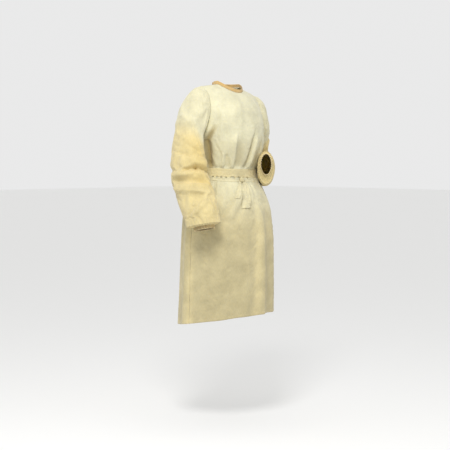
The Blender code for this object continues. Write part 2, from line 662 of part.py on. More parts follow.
def add_tie(material):
    """The knot in front, just clear of the wrapped tie and the flare below it, and the two ends that hang from it."""
    half_turn = math.degrees(KNOT_SIZE[0] / 2 / BODY_SECTIONS[-4].front)
    angles = KNOT_ANGLE + np.linspace(-half_turn, half_turn, 5)
    levels = KNOT_LEVEL + np.linspace(-0.5, 0.5, 7) * KNOT_SIZE[2]
    angle, level, _ = as_grid(angles, levels)
    points, _ = body_surface(angle, level, front=True)
    middle, way = body_surface(np.array([KNOT_ANGLE]), np.array([KNOT_LEVEL]), front=True)
    outward = unit(way[0] * np.array((1, 1, 0)))
    wrap = np.where(level > WRAP_LOW - SEAM_GAP, BELT_GAP + BELT_THICK + WRAP_THICK + SEAM_GAP * 1.5, 0.0)
    reach = ((points - middle[0]) @ outward + wrap).max()
    add_block("tie_knot", middle[0] + outward * (reach + SEAM_GAP * 1.3), outward, KNOT_SIZE, material)
    top = KNOT_LEVEL - KNOT_SIZE[2] / 2 - 0.0045
    long_end = (
        (KNOT_ANGLE + 4.5, top, 0.0046, 0.014),
        (KNOT_ANGLE + 1.5, top - 0.028, 0.0024, 0.030),
        (KNOT_ANGLE - 1.5, top - 0.060, 0.0024, 0.037),
        (KNOT_ANGLE - 3.5, top - 0.100, 0.0026, 0.038),
    )
    short_end = (
        (KNOT_ANGLE - 3.5, top, 0.0046, 0.012),
        (KNOT_ANGLE - 10.0, top - 0.025, 0.0022, 0.018),
        (KNOT_ANGLE - 16.5, top - 0.066, 0.0024, 0.022),
    )
    strip_on_body("tie_end_long", long_end, TIE_END_THICK, material, front=True)
    strip_on_body("tie_end_short", short_end, TIE_END_THICK, material, front=True)


def neck_edge(turn):
    """The body's top edge at each angle round the neck, with the level way out of the neck opening."""
    front = np.abs(turn) <= 90
    level = np.zeros(len(turn))
    ahead, _ = body_surface(np.where(front, turn * NECK_SHARE, 0), level, front=True)
    angle = np.where(front, 180, 90 + np.abs(turn) * NECK_SHARE)
    angle = np.where(turn < 0, 360 - angle, angle)
    behind, way = body_surface(angle, level, front=False)
    behind = np.where((turn > 0)[:, None], lifted(behind, way, angle, level), behind)
    points = np.where(front[:, None], ahead, behind)
    return points, unit(points * np.array((1, 1, 0)))


def add_neck(binding_material):
    """The binding round the neckline, its knot at the nape and the knot's two ends."""
    turn = np.linspace(-180 - NECK_OVERLAP, 180 + NECK_OVERLAP, 46)
    edge, outward = neck_edge(turn)
    up = np.array((0.0, 0.0, 1.0))
    low = edge + up * SEAM_GAP * 1.4 + outward * 0.0002
    high = low + up * BINDING_HEIGHT - outward * 0.0015
    outside = np.array([low, high])
    add_wall("neck_binding", outside, outside - outward * BINDING_THICK, binding_material)
    nape, way = neck_edge(np.array([182.0]))
    knot_centre = nape[0] + way[0] * 0.0016 + up * (BINDING_HEIGHT / 2 + 0.002)
    add_block("neck_knot", knot_centre, way[0], NECK_KNOT_SIZE, binding_material)
    for name, angle, length in (("neck_tie_left", 176.5, 0.150), ("neck_tie_right", 187.0, 0.115)):
        path = (
            (angle, -0.006, 0.0014, NECK_TIE_WIDTH * 0.8),
            (angle + 0.8, -length / 2, 0.0012, NECK_TIE_WIDTH),
            (angle - 0.5, -length, 0.0012, NECK_TIE_WIDTH),
        )
        strip_on_body(name, path, 0.0011, binding_material, front=False)


def main():
    """Clears the scene and builds the gown."""
    for item in list(bpy.data.objects):
        bpy.data.objects.remove(item)
    cloth = add_material("gown_cloth", (0.78, 0.72, 0.50), 0.75)
    trim = add_material("gown_trim", (0.76, 0.64, 0.36), 0.75)
    add_cloth(cloth)
    add_cuff("cuff_left", LEFT_CUFF, LEFT_CUFF_WAY, 1, trim)
    add_cuff("cuff_right", RIGHT_CUFF, RIGHT_CUFF_WAY, -1, trim)
    add_belt(cloth)
    add_tie(cloth)
    add_neck(trim)


main()
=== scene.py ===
"""Looks of a long-sleeved procedure gown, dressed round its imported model.

Lengths are metres and angles are degrees. +Z is up, the front faces -Y and +X is the wearer's left. A place
on the body is an angle round it (0 front, 90 left, 180 back) and a level, its height below the neck. A place
on a sleeve is an angle round it (0 top or outer side, 90 front) and a number of rings along it from the
armhole.
"""

from __future__ import annotations

import logging
import math
from dataclasses import dataclass, field
from enum import Enum

import bpy
import numpy as np
from mathutils import Matrix, Vector
from mathutils.bvhtree import BVHTree

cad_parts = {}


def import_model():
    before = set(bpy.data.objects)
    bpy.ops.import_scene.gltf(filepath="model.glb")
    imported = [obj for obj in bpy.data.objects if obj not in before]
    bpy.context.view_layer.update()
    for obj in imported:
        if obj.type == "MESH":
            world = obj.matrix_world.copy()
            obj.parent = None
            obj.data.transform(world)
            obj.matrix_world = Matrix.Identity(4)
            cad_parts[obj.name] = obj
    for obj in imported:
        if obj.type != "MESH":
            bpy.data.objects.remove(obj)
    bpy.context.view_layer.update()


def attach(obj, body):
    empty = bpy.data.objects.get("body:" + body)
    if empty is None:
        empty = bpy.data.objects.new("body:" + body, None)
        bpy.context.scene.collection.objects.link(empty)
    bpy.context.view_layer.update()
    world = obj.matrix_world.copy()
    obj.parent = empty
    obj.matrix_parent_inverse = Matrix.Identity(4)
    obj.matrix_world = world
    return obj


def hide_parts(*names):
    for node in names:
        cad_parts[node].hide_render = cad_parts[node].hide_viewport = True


LOG = logging.getLogger("gown")
Array = np.ndarray
Colour = tuple[float, float, float]
Point = tuple[float, float, float]
Pair = tuple[float, float]
Item = bpy.types.Object
Material = bpy.types.Material
Node = bpy.types.Node
Socket = bpy.types.NodeSocket
Tree = bpy.types.NodeTree

BODY = "root"
SEAM_GAP = 0.0003
STEP_TURN = 0.5
STEP_RISE = 0.0015
BODY_RADIUS = 0.16
LEVEL_WAY = np.array((1.0, 1.0, 0.0))
UP = np.array((0.0, 0.0, 1.0))


class Side(Enum):
    """The wearer's side that a piece is on, as the sign of its X."""

    LEFT = 1
    RIGHT = -1


class Slot(Enum):
    """The record's material slots."""

    CLOTH = "cloth"
    TRIM = "trim"


# Tables


@dataclass(frozen=True)
class Section:
    """A level section of the body: an oval with its own depth in front and behind."""

    level: float
    half_width: float
    front: float
    back: float


@dataclass(frozen=True)
class YokeRow:
    """A row of the body above the armpit, from the centre line to the armhole's edge."""

    level: float
    edge_x: float
    edge_y: float
    edge_z: float
    centre_y: float
    centre_z: float
    top_share: float


@dataclass(frozen=True)
class Ring:
    """A ring of a sleeve: its centre and the half-vectors to its outer side and to its front."""

    centre: Point
    outer: Point
    front: Point


@dataclass(frozen=True)
class Fold:
    """A ridge (height above 0) or trough (below 0) between two places on a surface.

    Steep is the width of the bank on the left of its run, as a share of the other bank's width. Taper is the
    share of its run over which it rises.
    """

    from_angle: float
    from_along: float
    to_angle: float
    to_along: float
    width: float
    height: float
    steep: float = 1.0
    taper: float = 0.35


@dataclass(frozen=True)
class Gathers:
    """Small ridges that run out from a held edge, uneven in length, width, height and slant."""

    count: int
    seed: int
    start: float
    way: float
    reach: Pair
    width: float
    height: float
    slant: float

    def folds(self) -> list[Fold]:
        """Works the ridges out.

        Returns:
            One fold for each ridge.
        """
        draw = np.random.default_rng(self.seed)
        made = []
        for index in range(self.count):
            angle = (index + draw.uniform(-0.4, 0.4)) * 360 / self.count
            reach = draw.uniform(*self.reach)
            aside = draw.uniform(-self.slant, self.slant)
            width = self.width * draw.uniform(0.7, 1.4)
            height = self.height * draw.uniform(-0.5, 1.0)
            end = self.start + self.way * reach
            made.append(Fold(angle, self.start, angle + aside, end, width, height, draw.uniform(0.5, 1.0)))
        return made


def fold_table(*rows: tuple[float, ...]) -> tuple[Fold, ...]:
    """One fold for each row of a table, in the order of Fold's fields."""
    return tuple(Fold(*row) for row in rows)


BODY_SECTIONS = (
    Section(-0.950, 0.213, 0.177, 0.171),
    Section(-0.840, 0.210, 0.182, 0.160),
    Section(-0.740, 0.207, 0.184, 0.153),
    Section(-0.660, 0.204, 0.184, 0.149),
    Section(-0.590, 0.199, 0.182, 0.146),
    Section(-0.530, 0.190, 0.176, 0.147),
    Section(-0.490, 0.181, 0.168, 0.146),
    Section(-0.448, 0.164, 0.153, 0.137),
    Section(-0.412, 0.149, 0.131, 0.123),
    Section(-0.392, 0.141, 0.114, 0.110),
    Section(-0.341, 0.137, 0.107, 0.104),
    Section(-0.315, 0.146, 0.119, 0.112),
    Section(-0.280, 0.155, 0.128, 0.117),
    Section(-0.235, 0.166, 0.133, 0.121),
)
FRONT_YOKE = (
    YokeRow(-0.165, 0.152, -0.034, -0.170, -0.121, -0.165, 0.2),
    YokeRow(-0.095, 0.144, -0.042, -0.104, -0.103, -0.100, 0.5),
    YokeRow(-0.040, 0.138, -0.018, -0.050, -0.074, -0.055, 0.8),
)
BACK_YOKE = (
    YokeRow(-0.165, 0.156, 0.068, -0.170, 0.129, -0.165, 0.2),
    YokeRow(-0.095, 0.148, 0.080, -0.100, 0.119, -0.095, 0.5),
    YokeRow(-0.040, 0.140, 0.056, -0.046, 0.096, -0.042, 0.8),
)
RIGHT_RINGS = (
    Ring((0.1745, 0.0160, -0.1365), (-0.0025, 0.0025, 0.0985), (0.000, -0.066, 0.004)),
    Ring((0.1940, 0.0170, -0.1640), (0.0180, 0.0010, 0.0870), (0.004, -0.069, 0.000)),
    Ring((0.2080, 0.0140, -0.2035), (0.0370, 0.0030, 0.0620), (0.003, -0.070, 0.000)),
    Ring((0.2165, 0.0080, -0.2560), (0.0525, 0.0040, 0.0290), (0.002, -0.073, 0.004)),
    Ring((0.2230, 0.000, -0.3170), (0.0610, 0.0040, 0.0080), (0.000, -0.076, 0.008)),
    Ring((0.2310, -0.021, -0.386), (0.0630, 0.0060, 0.0035), (0.000, -0.080, 0.010)),
    Ring((0.2350, -0.054, -0.455), (0.0600, 0.006, 0.000), (0.000, -0.081, 0.012)),
    Ring((0.2370, -0.083, -0.515), (0.0560, 0.004, 0.000), (0.000, -0.078, 0.013)),
    Ring((0.2370, -0.099, -0.560), (0.0540, 0.003, 0.000), (0.000, -0.073, 0.014)),
)
LEFT_RINGS = (
    Ring((0.1745, 0.0175, -0.1355), (-0.0025, 0.0035, 0.0995), (0.000, -0.065, 0.004)),
    Ring((0.1920, 0.0260, -0.1620), (0.0160, 0.0000, 0.0880), (0.004, -0.062, 0.000)),
    Ring((0.2022, 0.0345, -0.2030), (0.0302, 0.0015, 0.0630), (0.004, -0.060, 0.004)),
    Ring((0.2065, 0.0440, -0.2625), (0.0375, 0.0060, 0.0225), (0.004, -0.058, 0.014)),
    Ring((0.2140, 0.040, -0.330), (0.0360, -0.014, 0.000), (-0.012, -0.046, 0.050)),
    Ring((0.1910, -0.006, -0.345), (0.0290, -0.026, 0.000), (-0.006, -0.010, 0.066)),
    Ring((0.1380, -0.068, -0.344), (0.0260, -0.024, 0.000), (0.000, 0.000, 0.067)),
    Ring((0.0920, -0.118, -0.339), (0.0255, -0.024, 0.000), (0.000, 0.000, 0.068)),
    Ring((0.0660, -0.143, -0.337), (0.0240, -0.0225, 0.000), (0.000, 0.000, 0.066)),
)
RIGHT_CUFF = Ring((0.2370, -0.101, -0.564), (0.0340, 0.000, 0.000), (0.000, -0.045, 0.009))
LEFT_CUFF = Ring((0.0600, -0.150, -0.326), (0.0165, -0.0155, 0.000), (0.000, 0.000, 0.043))

# A fold's row gives from_angle, from_along, to_angle, to_along, width, height, and maybe steep and taper
# The first three tables are the largest folds, most of which the solids have too
MAIN_BODY_FOLDS = fold_table(
    (6, -0.53, 8, -0.95, 0.022, 0.011, 0.30),
    (17, -0.54, 20, -0.95, 0.022, -0.009),
    (10, -0.205, -3, -0.336, 0.009, -0.012, 0.8, 0.5),
    (16, -0.210, 4, -0.334, 0.011, 0.006, 1.0, 0.6),
    (-24, -0.215, -29, -0.334, 0.014, 0.010, 0.40, 0.5),
    (-16, -0.225, -20, -0.328, 0.020, -0.010, 1.0, 0.9),
    (-45, -0.285, -46, -0.334, 0.008, 0.007, 0.6, 0.6),
    (-40, -0.290, -40, -0.334, 0.008, -0.005),
    (31, -0.215, 29, -0.270, 0.016, -0.007, 0.6, 0.8),
    (-70, -0.180, -72, -0.336, 0.024, -0.022, 0.6, 0.8),
    (-23, -0.440, -41, -0.530, 0.013, 0.008, 1.6),
    (-19, -0.460, -33, -0.555, 0.018, -0.008, 0.6),
    (-52, -0.420, -60, -0.700, 0.022, 0.004, 0.6),
    (-30, -0.620, -28, -0.950, 0.030, -0.004),
    (-99, -0.500, -98, -0.950, 0.026, 0.006),
    (-84, -0.560, -83, -0.950, 0.026, -0.005),
    (48, -0.450, 44, -0.950, 0.028, -0.005),
    (66, -0.430, 70, -0.900, 0.024, 0.006, 0.6),
    (104, -0.430, 108, -0.950, 0.026, -0.007, 0.7),
    (126, -0.440, 131, -0.950, 0.024, 0.007, 0.6),
    (213, -0.430, 216, -0.900, 0.028, -0.006),
    (234, -0.440, 231, -0.950, 0.024, 0.008, 0.6),
    (150, -0.205, 138, -0.325, 0.015, -0.005, 0.6),
    (214, -0.225, 225, -0.325, 0.014, 0.005, 0.6),
    (236, -0.240, 238, -0.325, 0.014, -0.004),
    (116, -0.255, 113, -0.325, 0.013, 0.004),
)
MAIN_RIGHT_FOLDS = fold_table(
    (132, 5.56, 62, 5.33, 0.014, -0.014, 0.32),
    (66, 5.33, 24, 5.50, 0.013, -0.012, 0.32),
    (20, 5.10, 112, 5.04, 0.018, 0.006),
    (-20, 5.74, 44, 5.74, 0.011, 0.010, 0.7),
    (-12, 6.06, 84, 6.18, 0.014, -0.016, 0.6),
    (-30, 6.44, 70, 6.80, 0.012, 0.009, 0.6),
    (26, 6.95, 60, 7.20, 0.019, -0.011),
    (68, 7.10, 12, 8.10, 0.013, 0.006, 0.7),
    (285, 5.30, 350, 5.60, 0.014, -0.005, 0.6),
    (200, 5.40, 290, 6.10, 0.015, 0.006, 0.6),
)
MAIN_LEFT_FOLDS = fold_table(
    (120, 4.70, 40, 5.30, 0.014, -0.006, 0.6),
    (330, 5.10, 50, 5.70, 0.014, 0.004, 0.6),
    (280, 6.20, 10, 6.60, 0.014, -0.004, 0.6),
    (250, 7.10, 330, 7.50, 0.014, 0.004, 0.6),
    (20, 3.10, 100, 3.60, 0.016, -0.004, 0.6),
)
# The last three are smaller drags, creases and ripples, which only the looks have
FINE_BODY_FOLDS = fold_table(
    (-70, -0.120, -52, -0.235, 0.010, -0.0030, 0.6),
    (-60, -0.110, -38, -0.200, 0.009, 0.0022, 0.7),
    (62, -0.115, 40, -0.215, 0.010, -0.0028, 0.6),
    (-15, -0.070, -20, -0.170, 0.014, 0.0022),
    (-58, -0.235, -47, -0.300, 0.009, -0.0035, 0.6),
    (-66, -0.290, -56, -0.335, 0.008, 0.0030),
    (-12, -0.275, -14, -0.335, 0.007, -0.0024, 0.5, 0.8),
    (24, -0.260, 19, -0.335, 0.009, -0.0030, 0.5, 0.7),
    (-36, -0.300, -35, -0.336, 0.006, -0.0045, 0.6, 0.6),
    (-2, -0.395, -5, -0.470, 0.008, 0.0032, 0.6),
    (4, -0.395, 8, -0.520, 0.010, -0.0035, 0.6),
    (-16, -0.400, -27, -0.460, 0.008, -0.0030),
    (-34, -0.398, -37, -0.470, 0.008, -0.0032, 0.6),
    (-42, -0.398, -49, -0.500, 0.009, 0.0032, 0.6),
    (-63, -0.398, -70, -0.560, 0.010, -0.0036, 0.6),
    (-74, -0.400, -79, -0.540, 0.009, 0.0034, 0.6),
    (-44, -0.560, -46, -0.940, 0.020, 0.0026, 0.7),
    (-64, -0.600, -66, -0.950, 0.018, -0.0034, 0.6),
    (-16, -0.640, -17, -0.950, 0.020, 0.0024, 0.8),
    (31, -0.480, 30, -0.900, 0.018, 0.0032, 0.6),
    (58, -0.520, 57, -0.950, 0.018, -0.0034, 0.6),
    (84, -0.470, 88, -0.950, 0.020, 0.0038, 0.6),
    (142, -0.480, 145, -0.950, 0.018, -0.0042, 0.6),
    (158, -0.420, 160, -0.800, 0.018, 0.0036, 0.6),
    (196, -0.420, 199, -0.900, 0.018, -0.0036, 0.6),
    (246, -0.430, 250, -0.880, 0.018, -0.0040, 0.6),
    (262, -0.440, 259, -0.950, 0.018, 0.0036, 0.6),
    (186, -0.120, 176, -0.300, 0.016, 0.0030, 0.7),
    (166, -0.090, 150, -0.210, 0.014, -0.0030, 0.6),
    (205, -0.100, 218, -0.220, 0.014, -0.0030, 0.6),
    (196, -0.240, 200, -0.335, 0.010, -0.0038, 0.6),
    (168, -0.250, 165, -0.336, 0.010, 0.0036, 0.6),
)
FINE_RIGHT_FOLDS = fold_table(
    (104, 5.44, 64, 5.36, 0.0055, -0.0065, 0.5),
    (66, 5.36, 32, 5.50, 0.0050, -0.0055, 0.5),
    (104, 5.22, 50, 5.14, 0.0110, 0.0045, 1.0),
    (74, 0.55, 70, 1.20, 0.007, -0.0016, 0.6),
    (96, 0.80, 112, 1.80, 0.010, 0.0022, 0.7),
    (20, 1.60, 35, 2.90, 0.013, 0.0018),
    (300, 0.90, 285, 2.20, 0.012, -0.0028, 0.6),
    (240, 1.20, 230, 2.60, 0.012, 0.0028, 0.7),
    (-20, 3.00, 60, 3.25, 0.016, 0.0026, 0.6),
    (60, 3.40, 96, 4.30, 0.012, -0.0030, 0.6),
    (10, 3.95, 70, 4.25, 0.014, 0.0030, 0.6),
    (-30, 4.45, 40, 4.80, 0.014, -0.0030, 0.6),
    (98, 6.10, 122, 6.90, 0.010, 0.0040, 0.6),
    (92, 7.05, 96, 8.40, 0.010, -0.0036, 0.6),
    (74, 7.70, 78, 8.80, 0.009, 0.0030),
    (20, 8.10, 34, 8.90, 0.009, -0.0028, 0.6),
    (330, 3.60, 310, 4.90, 0.012, -0.0030, 0.6),
    (270, 4.40, 310, 5.20, 0.011, 0.0034, 0.6),
    (210, 4.30, 250, 5.20, 0.012, -0.0034, 0.6),
    (300, 6.50, 340, 7.10, 0.012, -0.0034, 0.6),
    (230, 6.80, 270, 7.80, 0.012, 0.0032, 0.6),
)
FINE_LEFT_FOLDS = fold_table(
    (60, 0.70, 75, 1.90, 0.010, -0.0028, 0.6),
    (110, 1.00, 130, 2.30, 0.011, 0.0026, 0.7),
    (20, 1.50, 30, 2.70, 0.013, -0.0022),
    (300, 1.00, 285, 2.40, 0.012, 0.0028, 0.6),
    (70, 3.60, 30, 4.40, 0.010, 0.0034, 0.6),
    (90, 4.10, 50, 4.90, 0.009, -0.0038, 0.6),
    (100, 4.60, 60, 5.10, 0.009, 0.0034, 0.6),
    (300, 3.70, 340, 4.40, 0.012, -0.0030, 0.6),
    (0, 5.50, 40, 6.60, 0.010, -0.0032, 0.6),
    (300, 5.60, 350, 6.10, 0.010, 0.0034, 0.6),
    (320, 6.60, 20, 7.40, 0.010, 0.0030, 0.6),
    (250, 5.30, 290, 6.90, 0.012, -0.0030, 0.6),
    (20, 7.20, 45, 8.40, 0.009, -0.0028, 0.6),
    (300, 7.70, 330, 8.60, 0.009, -0.0030, 0.6),
)


# Numbers


def smooth(value: Array) -> Array:
    """A soft step from 0 to 1."""
    value = np.clip(value, 0.0, 1.0)
    return value * value * (3 - 2 * value)


def unit(vectors: Array) -> Array:
    """The vectors at length 1."""
    return vectors / np.maximum(np.linalg.norm(vectors, axis=-1, keepdims=True), 1e-12)


def bell(away: Array, width: Array | float) -> Array:
    """A soft bump: 1 at 0, and near 0 from twice its width."""
    return np.exp(-((away / width) ** 2))


def places(rows: Array, columns: Array) -> tuple[Array, Array]:
    """Every pair of a row's and a column's value, row by row."""
    first, second = np.meshgrid(rows, columns, indexing="ij")
    return first.ravel(), second.ravel()


def spline(knots: Array, values: Array, at: Array, eased: int = 0, ease: Array | float = 0.0) -> Array:
    """Reads a smooth curve through rows of values, at one place for each column.

    Args:
        knots: The place of each row.
        values: One row of points a knot.
        at: The place wanted in each column.
        eased: The knot whose slope may be a quarter of that of the stretch before it.
        ease: How far that holds in each column, from 0 to 1.

    Returns:
        One point a column.
    """
    knots = np.asarray(knots, float)
    steps = np.diff(knots)[:, None, None]
    slopes = np.diff(values, axis=0) / steps
    tangents = np.empty_like(values)
    tangents[0], tangents[-1] = slopes[0], slopes[-1]
    tangents[1:-1] = (slopes[1:] * steps[:-1] + slopes[:-1] * steps[1:]) / (steps[1:] + steps[:-1])
    if eased:
        share = np.reshape(ease, (-1, 1))
        tangents[eased] += share * (slopes[eased - 1] * 0.25 - tangents[eased])
    index = np.clip(np.searchsorted(knots, at, side="right") - 1, 0, len(knots) - 2)
    columns = np.arange(values.shape[1])
    step = steps[index, 0]
    share = ((at - knots[index]) / step[:, 0])[:, None]
    start, end = values[index, columns], values[index + 1, columns]
    leave, arrive = tangents[index, columns] * step, tangents[index + 1, columns] * step
    return (
        start * (1 + 2 * share) * (1 - share) ** 2
        + leave * share * (1 - share) ** 2
        + end * share**2 * (3 - 2 * share)
        + arrive * share**2 * (share - 1)
    )


def fold_heights(
    folds: tuple[Fold, ...] | list[Fold], angle: Array, along: Array, radius: float, pitch: float
) -> Array:
    """Sums the folds' heights at each place.

    Args:
        folds: The folds.
        angle: Each place's angle.
        along: Each place's level, or its number of rings along.
        radius: The radius at which an angle counts as its length.
        pitch: The length of one step along.

    Returns:
        The height at each place.
    """
    height = np.zeros(angle.shape)
    for fold in folds:
        span = (fold.to_angle - fold.from_angle + 180) % 360 - 180
        run = np.array((math.radians(span) * radius, (fold.to_along - fold.from_along) * pitch))
        turn = (angle - fold.from_angle - span / 2 + 180) % 360 - 180 + span / 2
        x, y = np.radians(turn) * radius, (along - fold.from_along) * pitch
        share = np.clip((x * run[0] + y * run[1]) / (run @ run), -0.25, 1.25)
        away = np.hypot(x - share * run[0], y - share * run[1])
        left = run[0] * y - run[1] * x > 0
        rise = smooth((share + 0.25) / fold.taper)
        width = fold.width * np.where(left, fold.steep, 1.0) * (0.5 + 0.5 * rise)
        ends = rise * smooth((1.25 - share) / 0.35)
        height += fold.height * bell(away, width) * ends
    return height


def read_cubic(field_of: Array, row: Array, column: Array, closed: bool) -> Array:
    """Reads a grid of vectors smoothly between its points.

    Args:
        field_of: The grid, rows by columns by 3.
        row: Each place's row, as a real number.
        column: Each place's column, as a real number.
        closed: True if the last column joins the first.

    Returns:
        One vector a place.
    """
    rows, columns = field_of.shape[:2]
    total = np.zeros((row.size, 3))
    base_row, base_column = np.floor(row).astype(int), np.floor(column).astype(int)

    def weights(share: Array) -> list[Array]:
        """The weights of the four nearest values.

        Args:
            share: How far each place is past the second of the four, from 0 to 1.

        Returns:
            The four weights of each place.
        """
        return [
            -0.5 * share + share**2 - 0.5 * share**3,
            1 - 2.5 * share**2 + 1.5 * share**3,
            0.5 * share + 2 * share**2 - 1.5 * share**3,
            -0.5 * share**2 + 0.5 * share**3,
        ]

    by_row, by_column = weights(row - base_row), weights(column - base_column)
    for r in range(4):
        at_row = np.clip(base_row + r - 1, 0, rows - 1)
        for c in range(4):
            at_column = base_column + c - 1
            at_column = at_column % columns if closed else np.clip(at_column, 0, columns - 1)
            total += field_of[at_row, at_column] * (by_row[r] * by_column[c])[:, None]
    return total


def sheet_normals(points: Array, closed: bool, sign: float = 1.0) -> Array:
    """Works out the outward directions of a grid of points.

    Args:
        points: The grid, rows by columns by 3.
        closed: True if the last column joins the first.
        sign: -1 where the grid runs the other way round.

    Returns:
        A grid of directions.
    """
    if closed:
        round_it = np.roll(points, -1, axis=1) - np.roll(points, 1, axis=1)
    else:
        round_it = np.gradient(points, axis=1)
    return unit(np.cross(round_it, np.gradient(points, axis=0))) * sign


# Meshes


def link_mesh(name: str, points: Array, faces: list, material: Material | None = None) -> Item:
    """Puts a mesh in the scene.

    Args:
        name: The object's name.
        points: Its points.
        faces: Its faces, as lists of point numbers.
        material: Its finish.

    Returns:
        The object.
    """
    mesh = bpy.data.meshes.new(name)
    mesh.from_pydata(np.asarray(points, float).reshape(-1, 3).tolist(), [], faces)
    if material is not None:
        mesh.materials.append(material)
    mesh.shade_smooth()
    item = bpy.data.objects.new(name, mesh)
    bpy.context.scene.collection.objects.link(item)
    return item


def grid_faces(rows: int, columns: int, closed: bool) -> Array:
    """The quads of a grid, as point numbers.

    Args:
        rows: How many rows of points it has.
        columns: How many points a row has.
        closed: True if the last column joins the first.

    Returns:
        Four point numbers a quad.
    """
    spans = columns if closed else columns - 1
    r, c = np.meshgrid(np.arange(rows - 1), np.arange(spans), indexing="ij")
    n = (c + 1) % columns
    low, high = r * columns, (r + 1) * columns
    quads = np.stack([low + c, low + n, high + n, high + c], axis=-1)
    return quads.reshape(-1, 4)


def signed_volume(points: Array, faces: Array) -> float:
    """Six times the volume inside closed quads, below 0 where they face inwards."""
    a, b, c, d = (points[faces[:, i]] for i in range(4))
    return float((a * np.cross(b, c)).sum() + (a * np.cross(c, d)).sum())


def keep_values(item: Item, title: str, values: Array) -> None:
    """Keeps one value a point on a mesh, for its material to read."""
    layer = item.data.attributes.new(title, "FLOAT", "POINT")
    layer.data.foreach_set("value", np.asarray(values, np.float32).ravel())


def keep_map(item: Item, places_of: Array) -> None:
    """Keeps the cloth's own map, a place in metres for each corner of a face."""
    layer = item.data.uv_layers.new(name="cloth_map")
    layer.data.foreach_set("uv", places_of.astype(np.float32).ravel())


def make_wall(
    name: str, outside: Array, inside: Array, material: Material, flat: Pair, warmth: Array,
    closed: bool = False, hollow: Array | None = None,
) -> Item:
    """Makes one closed sheet between two grids of points, with a map of its cloth in metres.

    Args:
        name: The object's name.
        outside: The outer grid, rows by columns by 3.
        inside: The inner grid.
        material: The finish.
        flat: The cloth's width and length, for its map.
        warmth: How warm the cloth's colour is at each point of the grid; on the panels and sleeves partly
            painted shade.
        closed: True if the last column joins the first.
        hollow: How far painted shade darkens the cloth there.

    Returns:
        The object.
    """
    rows, columns = outside.shape[:2]
    count = rows * columns
    out = grid_faces(rows, columns, closed)
    rims = []
    spans = columns if closed else columns - 1
    for r in (0, rows - 1):
        c = np.arange(spans)
        n = (c + 1) % columns
        a, b = r * columns + n, r * columns + c
        rim = np.stack([a, b, count + b, count + a], axis=-1)
        rims.append(rim if r == 0 else rim[:, ::-1])
    if not closed:
        for c in (0, columns - 1):
            r = np.arange(rows - 1)
            a, b = r * columns + c, (r + 1) * columns + c
            rim = np.stack([a, b, count + b, count + a], axis=-1)
            rims.append(rim if c == 0 else rim[:, ::-1])
    faces = np.concatenate([out, (out + count)[:, ::-1], *rims])
    points = np.concatenate([outside.reshape(-1, 3), inside.reshape(-1, 3)])
    if signed_volume(points, faces) < 0:
        faces = faces[:, ::-1]
    item = link_mesh(name, points, faces.tolist(), material)
    item.data.polygons.foreach_set("use_smooth", np.arange(len(faces)) < 2 * len(out))
    number = faces.ravel() % count
    u = (number % columns) / spans
    face_u = u.reshape(-1, 4)
    if closed:
        wraps = (face_u.max(axis=1) - face_u.min(axis=1)) > 0.5
        face_u = np.where(wraps[:, None] & (face_u < 0.5), face_u + 1.0, face_u)
    v = (number // columns) / (rows - 1)
    keep_map(item, np.stack([face_u.ravel() * flat[0], v * flat[1]], axis=-1))
    keep_values(item, "warmth", np.tile(warmth.ravel(), 2))
    # The hollow values are painted shade for the material to read
    if hollow is not None:
        keep_values(item, "hollow", np.tile(hollow.ravel(), 2))
    return item


def face_out(item: Item) -> None:
    """Turns a closed mesh's faces outwards where they face in.

    Args:
        item: The object with the mesh.
    """
    mesh = item.data
    mesh.calc_loop_triangles()
    points = np.array([v.co for v in mesh.vertices])
    numbers = np.array([t.vertices for t in mesh.loop_triangles])
    a, b, c = (points[numbers[:, i]] for i in range(3))
    if float((a * np.cross(b, c)).sum()) < 0:
        mesh.flip_normals()


def make_lines(name: str, lines: list[Array]) -> Item:
    """Puts open lines of points in the scene as bare edges.

    Args:
        name: The object's name.
        lines: Rows of points.

    Returns:
        The object.
    """
    points, edges, start = [], [], 0
    for line in lines:
        points.extend(line.tolist())
        edges.extend([(start + i, start + i + 1) for i in range(len(line) - 1)])
        start += len(line)
    mesh = bpy.data.meshes.new(name)
    mesh.from_pydata(points, edges, [])
    item = bpy.data.objects.new(name, mesh)
    bpy.context.scene.collection.objects.link(item)
    return item


def made_plain(item: Item) -> Item:
    """Turns an object with its modifiers into a plain mesh and removes the modifiers.

    Args:
        item: The object.

    Returns:
        The same object.
    """
    graph = bpy.context.evaluated_depsgraph_get()
    mesh = bpy.data.meshes.new_from_object(item.evaluated_get(graph))
    item.modifiers.clear()
    old, item.data = item.data, mesh
    mesh.name = item.name
    bpy.data.meshes.remove(old)
    return item


# Finishes


